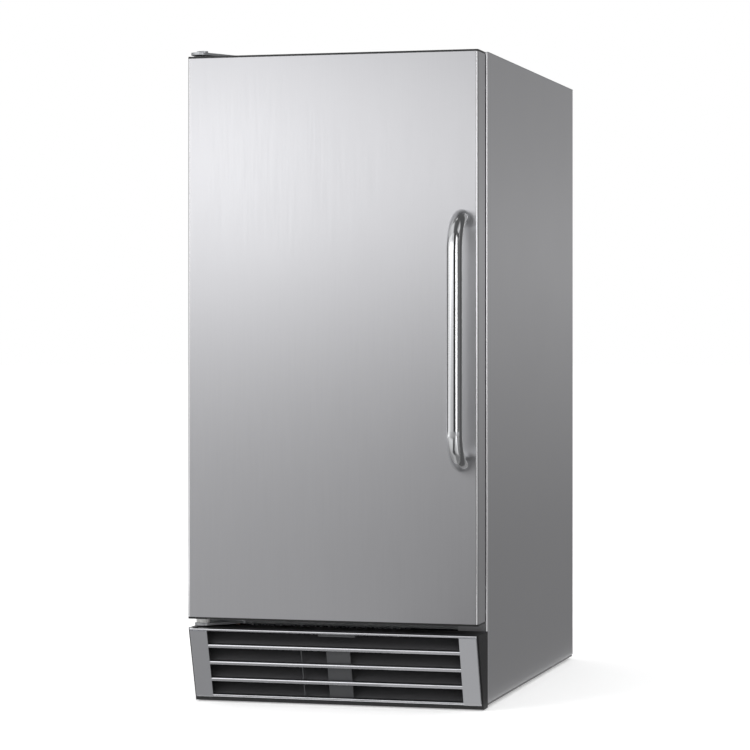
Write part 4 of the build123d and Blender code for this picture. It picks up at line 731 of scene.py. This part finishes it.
class ICEMAKER_OT_control_marks(bpy.types.Operator):
    """Plain marks round the thermostat knob, and its pointer"""

    bl_idname = "ice_maker.control_marks"
    bl_label = "Control Marks"

    MARKS = 7
    FIRST, STEP = -135, 45  # degrees, clockwise from the top
    SHORT = 0.7  # marks between the two ends, against those
    HEIGHT, ROUND = 0.3 * MM, 0.1 * MM
    POINTER_INSET, POINTER_LENGTH = 3, 1.6  # in lengths of a mark

    def execute(self, context):
        fit = settings()[1]
        low, high = (Vector(corner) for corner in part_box("thermostat_knob"))
        middle = (low + high) / 2
        box_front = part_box("control_box")[0][1]
        ring = (high.x - low.x) / 2 + fit.mark_length
        dial = bmesh.new()
        for number in range(self.MARKS):
            turn = math.radians(self.FIRST + self.STEP * number)
            run = fit.mark_length * (1.0 if number in (0, self.MARKS - 1) else self.SHORT)
            self.add_mark(dial, fit, (middle.x, box_front, middle.z), turn, ring, run)
        make_piece(dial, "dial_marks", "cabinet", "white_nylon", "white_nylon")
        pointer = bmesh.new()
        face = (middle.x, low.y, middle.z)
        ring -= self.POINTER_INSET * fit.mark_length
        run = self.POINTER_LENGTH * fit.mark_length
        self.add_mark(pointer, fit, face, math.radians(self.FIRST), ring, run)
        make_piece(pointer, "knob_pointer", "thermostat_knob", "white_nylon", "white_nylon")
        return {"FINISHED"}

    def add_mark(self, shape, fit, centre, turn, ring, run):
        """One raised mark at a distance from a centre, clockwise from the top."""
        mark = bmesh.ops.create_cube(shape, size=1)["verts"]
        bmesh.ops.scale(shape, verts=mark, vec=(fit.mark_width, self.HEIGHT, run))
        edges = list({edge for vert in mark for edge in vert.link_edges})
        rounded = bmesh.ops.bevel(
            shape, geom=edges, offset=self.ROUND, segments=1, profile=0.5, affect="EDGES", material=-1
        )["verts"]
        place = Matrix.Translation(centre) @ Matrix.Rotation(turn, 4, "Y") @ Matrix.Translation((0, 0, ring))
        bmesh.ops.transform(shape, matrix=place, verts=rounded)


class ICEMAKER_OT_inlet_thread(bpy.types.Operator):
    """Helical ridge of the hose thread on the water inlet"""

    bl_idname = "ice_maker.inlet_thread"
    bl_label = "Inlet Thread"

    TURNS = 5
    STEPS = 28  # in one turn
    SUNK = 0.3 * MM  # foot of the ridge below the spigot's face
    # Shares of the pitch along the spigot, and of the ridge's height
    RIDGE = ((0.35, 0.0), (0.12, 1.0), (-0.12, 1.0), (-0.35, 0.0))

    def execute(self, context):
        fit = settings()[1]
        spigot = next(item for item in frame["record"]["mounts"] if item["name"] == "water_inlet")
        middle, radius = Vector(spigot["pos_m"]), spigot["dims"]["r_mm"] * MM
        rise = fit.thread_pitch * self.TURNS
        start = middle + Vector((0, -rise / 2, radius - self.SUNK))
        height = fit.thread_depth + self.SUNK
        shape = bmesh.new()
        section = shape.faces.new(
            shape.verts.new(start + Vector((0, along * fit.thread_pitch, out * height)))
            for along, out in self.RIDGE
        )
        bmesh.ops.spin(
            shape,
            geom=[section, *section.verts, *section.edges],
            cent=middle,
            axis=(0, 1, 0),
            dvec=(0, fit.thread_pitch / self.STEPS, 0),
            angle=math.tau * self.TURNS,
            steps=self.STEPS * self.TURNS,
        )
        make_piece(shape, "inlet_thread", "cabinet", "white_nylon", "white_nylon")
        return {"FINISHED"}


class ICEMAKER_OT_machine_bay(bpy.types.Operator):
    """Finishes of the compressor, the condenser and the water path"""

    bl_idname = "ice_maker.machine_bay"
    bl_label = "Machine Bay"

    def execute(self, context):
        dress("black_paint", "compressor")
        dress("soft_pvc", "compressor_grommets")
        dress("rolled_aluminium", "condenser_coil")
        dress("black_abs", "condenser_fan", "cord_gland")
        dress("motor_lacquer", "condenser_motor")
        dress("drawn_copper", "refrigerant_lines", "filter_drier")
        dress("white_nylon", "water_valve")
        return {"FINISHED"}


def seen_or_mirrored(tree):
    """1 for a ray from the camera, a mirror or a see-through piece, and 0 for the light that falls."""
    path = add(tree, "ShaderNodeLightPath")
    seen = path.outputs["Is Camera Ray"]
    for kind in ("Is Glossy Ray", "Is Transmission Ray"):
        either = add(tree, "ShaderNodeMath", {0: seen, 1: path.outputs[kind]}, operation="MAXIMUM")
        seen = either.outputs["Value"]
    return seen


def studio_card(name, place, width, height, facing, levels, axis="Z", turn=0.0):
    """One-sided card that only shiny surfaces see, graduated along one axis as (metres, brightness)."""
    card = bpy.data.objects.new(name, bpy.data.meshes.new(name))
    shape = bmesh.new()
    bmesh.ops.create_grid(shape, x_segments=1, y_segments=1, size=0.5)
    bmesh.ops.scale(shape, verts=shape.verts, vec=(width, height, 1))
    aim = Vector(facing).to_track_quat("Z", "Y").to_matrix().to_4x4() @ Matrix.Rotation(turn, 4, "Z")
    bmesh.ops.transform(shape, matrix=Matrix.Translation(place) @ aim, verts=shape.verts)
    shape.to_mesh(card.data)
    shape.free()
    bpy.context.collection.objects.link(card)
    card.visible_camera = card.visible_diffuse = card.visible_shadow = False
    card.visible_transmission = card.visible_volume_scatter = False

    paper = bpy.data.materials.new(name)
    paper.use_nodes = True
    tree = paper.node_tree
    tree.nodes.clear()
    first = levels[0][0]
    reach = max(levels[-1][0] - first, MM)
    parts = add(tree, "ShaderNodeSeparateXYZ", {"Vector": add(tree, "ShaderNodeTexCoord").outputs["Object"]})
    rise = add(
        tree,
        "ShaderNodeMapRange",
        {"Value": parts.outputs[axis], "From Min": first, "From Max": first + reach},
    )
    ramp = add(tree, "ShaderNodeValToRGB", {"Fac": rise.outputs["Result"]})
    stops = ramp.color_ramp.elements
    stops.remove(stops[1])
    for number, (at, level) in enumerate(levels):
        share_of_reach = (at - first) / reach
        stop = stops[0] if number == 0 else stops.new(share_of_reach)
        stop.position, stop.color = share_of_reach, (level, level, CARD_BLUE * level, 1)
    glow = add(tree, "ShaderNodeEmission", {"Color": ramp.outputs["Color"]})
    clear = add(tree, "ShaderNodeBsdfTransparent")
    rear = add(tree, "ShaderNodeNewGeometry").outputs["Backfacing"]
    sided = add(
        tree, "ShaderNodeMixShader", {0: rear, 1: glow.outputs["Emission"], 2: clear.outputs["BSDF"]}
    )
    add(tree, "ShaderNodeOutputMaterial", {"Surface": sided.outputs["Shader"]})
    card.data.materials.append(paper)


def soft_lamp(name, place, aim, size, power):
    """Square softbox aimed at a point, which shiny surfaces don't see: they see the cards."""
    lamp = bpy.data.lights.new(name, "AREA")
    lamp.shape = "RECTANGLE"
    lamp.size = lamp.size_y = size
    lamp.energy = power
    box = bpy.data.objects.new(name, lamp)
    box.location = place
    box.rotation_euler = (Vector(aim) - Vector(place)).to_track_quat("-Z", "Y").to_euler()
    bpy.context.collection.objects.link(box)
    box.visible_glossy = False


class ICEMAKER_OT_studio(bpy.types.Operator):
    """Floor, cards, lamps, surroundings and camera"""

    bl_idname = "ice_maker.studio"
    bl_label = "Studio"

    def execute(self, context):
        studio = settings()[2]
        scene = context.scene
        scene.view_settings.view_transform = "Standard"
        self.make_floor(studio)
        self.make_cards()
        self.make_lamps()
        self.make_surroundings(scene, studio)
        self.make_camera(scene, studio)
        return {"FINISHED"}

    def make_floor(self, studio):
        """Wide pale floor that shows white but keeps the soft shadow."""
        floor = bpy.data.objects.new("floor", bpy.data.meshes.new("floor"))
        shape = bmesh.new()
        bmesh.ops.create_circle(shape, cap_ends=True, segments=64, radius=40)
        shape.to_mesh(floor.data)
        shape.free()
        bpy.context.collection.objects.link(floor)
        paper = bpy.data.materials.new("floor_paper")
        paper.use_nodes = True
        tree = paper.node_tree
        tree.nodes.clear()
        matt = add(tree, "ShaderNodeBsdfDiffuse", {"Color": studio.floor})
        glow = add(tree, "ShaderNodeEmission", {"Strength": studio.floor_glow})
        lit = add(tree, "ShaderNodeAddShader", {0: matt.outputs["BSDF"], 1: glow.outputs["Emission"]})
        shown = add(
            tree,
            "ShaderNodeMixShader",
            {0: seen_or_mirrored(tree), 1: matt.outputs["BSDF"], 2: lit.outputs["Shader"]},
        )
        add(tree, "ShaderNodeOutputMaterial", {"Surface": shown.outputs["Shader"]})
        floor.data.materials.append(paper)

    def make_cards(self):
        """White cards that the steel and the handle mirror, and grey flags that darken them."""
        forward, back, left, right = (0, 1, 0), (0, -1, 0), (-1, 0, 0), (1, 0, 0)
        up, down = (0, 0, 1), (0, 0, -1)

        # In front: the door is brightest two thirds of the way up, and more so on its left
        door = [
            *((0.03, 0.37), (0.11, 0.45), (0.19, 0.49), (0.27, 0.57), (0.35, 0.63), (0.43, 0.76)),
            *((0.51, 1.07), (0.6, 1.6), (0.68, 2.05), (0.76, 2.1), (0.84, 1.95), (0.92, 1.5), (1.1, 0.8)),
        ]
        dimmer, brighter = ([(z, factor * level) for z, level in door] for factor in (0.8, 1.1))
        studio_card("door_card_right", (-0.023, -1.25, 0.8), 0.514, 1.6, forward, dimmer)
        studio_card("door_card_left", (-0.59, -1.25, 0.8), 0.62, 1.6, forward, brighter)
        studio_card("left_card", (-1.65, -1.25, 0.8), 1.5, 1.6, forward, [(0, 0.9)])
        studio_card("camera_flag", (1.065, -3.0, 2.1), 2.23, 4.2, forward, [(0, 0.04)])

        # At the sides: a bright strip for the handle, dark flags by it, and mid grey walls behind
        strip = [(0, 0.5), (0.15, 1.2), (0.35, 2.4), (0.55, 3.4), (0.8, 3.4), (1.0, 2.6), (1.8, 1.4)]
        flank = [(0, 0.4), (0.12, 0.4), (0.24, 0.13), (0.75, 0.13), (1.4, 0.16), (1.8, 0.4), (3.0, 0.7)]
        side = [(0, 0.3), (0.2, 0.35), (0.5, 0.47), (0.7, 0.61), (1.0, 0.44), (1.4, 0.37)]
        studio_card("right_strip", (1.6, -1.767, 0.9), 0.933, 1.8, left, strip)
        studio_card("right_flag", (2.6, -1.25, 1.5), 1.9, 3.0, left, flank)
        studio_card("right_wall", (2.6, 1.8, 1.5), 4.2, 3.0, left, [(0, 0.3)])
        studio_card("handle_flag", (0.91, -0.25, 0.435), 1.38, 0.87, back, [(0, 0.09)])
        studio_card("rear_flag", (0.9, 3.9, 1.5), 3.4, 3.0, back, side)
        studio_card("left_flag", (-2.6, -0.4, 1.5), 1.2, 3.0, right, flank)
        studio_card("left_wall", (-2.6, 2.05, 1.5), 3.7, 3.0, right, [(0, 0.55)])

        # Overhead: light on the left and dark on the right, which the handle's upper bend shows
        high, higher = 1.64, 1.65
        overhead = [(-2.4, 0.5), (-1.0, 0.58), (-0.4, 0.7), (-0.02, 0.6)]
        zenith = [(-1.0, 0.5), (-0.45, 0.5), (-0.25, 0.25), (0.16, 0.2)]
        shaded = [(-0.02, 0.25), (0.1, 0.15), (0.3, 0.1)]
        window = [(0.85, 0.25), (1.05, 0.45), (1.5, 0.75)]
        rear = [(0.25, 0.1), (0.9, 0.12), (1.4, 0.35), (2.6, 0.5)]
        studio_card("ceiling_left", (-1.21, -0.875, higher), 2.38, 0.85, down, overhead, "X")
        studio_card("ceiling_middle", (-1.12, -0.225, higher), 2.56, 0.45, down, zenith, "X")
        studio_card("ceiling_right", (1.29, -0.8, higher), 2.62, 1.0, down, shaded, "X")
        studio_card("ceiling_strip", (1.225, -0.3, high), 0.75, 1.0, down, window, "X")
        studio_card("ceiling_rear", (1.42, 0.55, higher), 2.36, 1.7, down, rear, "X")

        # On the floor: greys that the lower bend and the foot of each panel show
        low, over = 2 * MM, 3 * MM
        low_left = [(-1.25, 0.58), (-0.95, 0.72), (-0.6, 0.56), (-0.45, 0.42), (-0.4, 0.3), (-0.262, 0.29)]
        low_strip = [(0.3, 0.45), (0.78, 1.1), (1.6, 2.0)]
        studio_card("floor_left", (-0.825, -1.631, low), 1.75, 2.738, up, low_left, "Y")
        studio_card("floor_near", (0.12, -0.381, low), 0.14, 0.238, up, [(0, 0.42)])
        studio_card("floor_side", (1.395, -0.381, low), 2.41, 0.238, up, [(0, 0.2)])
        studio_card("floor_far", (1.325, -1.75, low), 2.55, 2.5, up, [(0, 0.3)])
        studio_card("floor_wedge", (0.27, -1.0, over), 0.2, 1.1, up, [(0, 0.08)], turn=math.radians(17))
        studio_card("floor_strip", (0.816, -1.03, over), 1.5, 0.34, up, low_strip, "X", math.radians(-47))
        studio_card("floor_right", (1.4, 1.82, low), 2.4, 4.16, up, [(0, 0.27)])
        studio_card("floor_back", (-1.395, 1.819, low), 2.41, 4.162, up, [(0, 0.45)])

    def make_lamps(self):
        """One large softbox high on the left and one overhead, in watts."""
        soft_lamp("key_softbox", (-1.5, -2.4, 2.2), aim=(0, 0, 0.45), size=1.4, power=32)
        soft_lamp("top_softbox", (0.2, 0.2, 2.6), aim=(0, 0, 0.4), size=1.4, power=12)

    def make_surroundings(self, scene, studio):
        """White surroundings where they are seen or mirrored, a soft fill elsewhere."""
        world = bpy.data.worlds.new("studio")
        scene.world = world
        world.use_nodes = True
        tree = world.node_tree
        tree.nodes.clear()
        paper = (1, 1, 1, 1)
        fill = add(tree, "ShaderNodeBackground", {"Color": paper, "Strength": studio.fill})
        white = add(tree, "ShaderNodeBackground", {"Color": paper, "Strength": 1.0})
        shown = add(
            tree,
            "ShaderNodeMixShader",
            {0: seen_or_mirrored(tree), 1: fill.outputs["Background"], 2: white.outputs["Background"]},
        )
        add(tree, "ShaderNodeOutputWorld", {"Surface": shown.outputs["Shader"]})

    def make_camera(self, scene, studio):
        """Level camera, turned to the left, with the lens dropped as in the picture."""
        lens = bpy.data.cameras.new("camera")
        lens.lens = studio.lens
        lens.sensor_width = 36.0
        lens.shift_y = studio.shift_y
        lens.clip_end = 100
        camera = bpy.data.objects.new("camera", lens)
        camera.location = studio.camera_place
        camera.rotation_euler = (math.radians(90), 0, studio.camera_yaw)
        bpy.context.collection.objects.link(camera)
        scene.camera = camera


GROUPS = (IceMakerFinishes, IceMakerFittings, IceMakerStudio)
STEPS = (
    ICEMAKER_OT_cabinet,
    ICEMAKER_OT_door,
    ICEMAKER_OT_gasket,
    ICEMAKER_OT_hinges,
    ICEMAKER_OT_screws,
    ICEMAKER_OT_grille,
    ICEMAKER_OT_compartment,
    ICEMAKER_OT_control_marks,
    ICEMAKER_OT_machine_bay,
    ICEMAKER_OT_inlet_thread,
    ICEMAKER_OT_studio,
)


class ICEMAKER_PT_panel(bpy.types.Panel):
    """Lists the steps in the order in which they run"""

    bl_label = "Ice Maker"
    bl_idname = "ICEMAKER_PT_panel"
    bl_space_type = "VIEW_3D"
    bl_region_type = "UI"
    bl_category = "Ice Maker"

    def draw(self, context):
        for step in STEPS:
            self.layout.operator(step.bl_idname)
        for group in settings():
            for name in group.bl_rna.properties.keys():
                if name not in {"rna_type", "name"}:
                    self.layout.prop(group, name)


CLASSES = GROUPS + STEPS + (ICEMAKER_PT_panel,)


def register():
    for item in CLASSES:
        bpy.utils.register_class(item)
    bpy.types.Scene.ice_maker_finishes = PointerProperty(type=IceMakerFinishes)
    bpy.types.Scene.ice_maker_fittings = PointerProperty(type=IceMakerFittings)
    bpy.types.Scene.ice_maker_studio = PointerProperty(type=IceMakerStudio)


def unregister():
    del bpy.types.Scene.ice_maker_studio
    del bpy.types.Scene.ice_maker_fittings
    del bpy.types.Scene.ice_maker_finishes
    for item in reversed(CLASSES):
        bpy.utils.unregister_class(item)


def main():
    """Registers the add-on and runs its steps."""
    register()
    for step in STEPS:
        group, name = step.bl_idname.split(".")
        getattr(getattr(bpy.ops, group), name)()


if __name__ == "__main__":
    main()
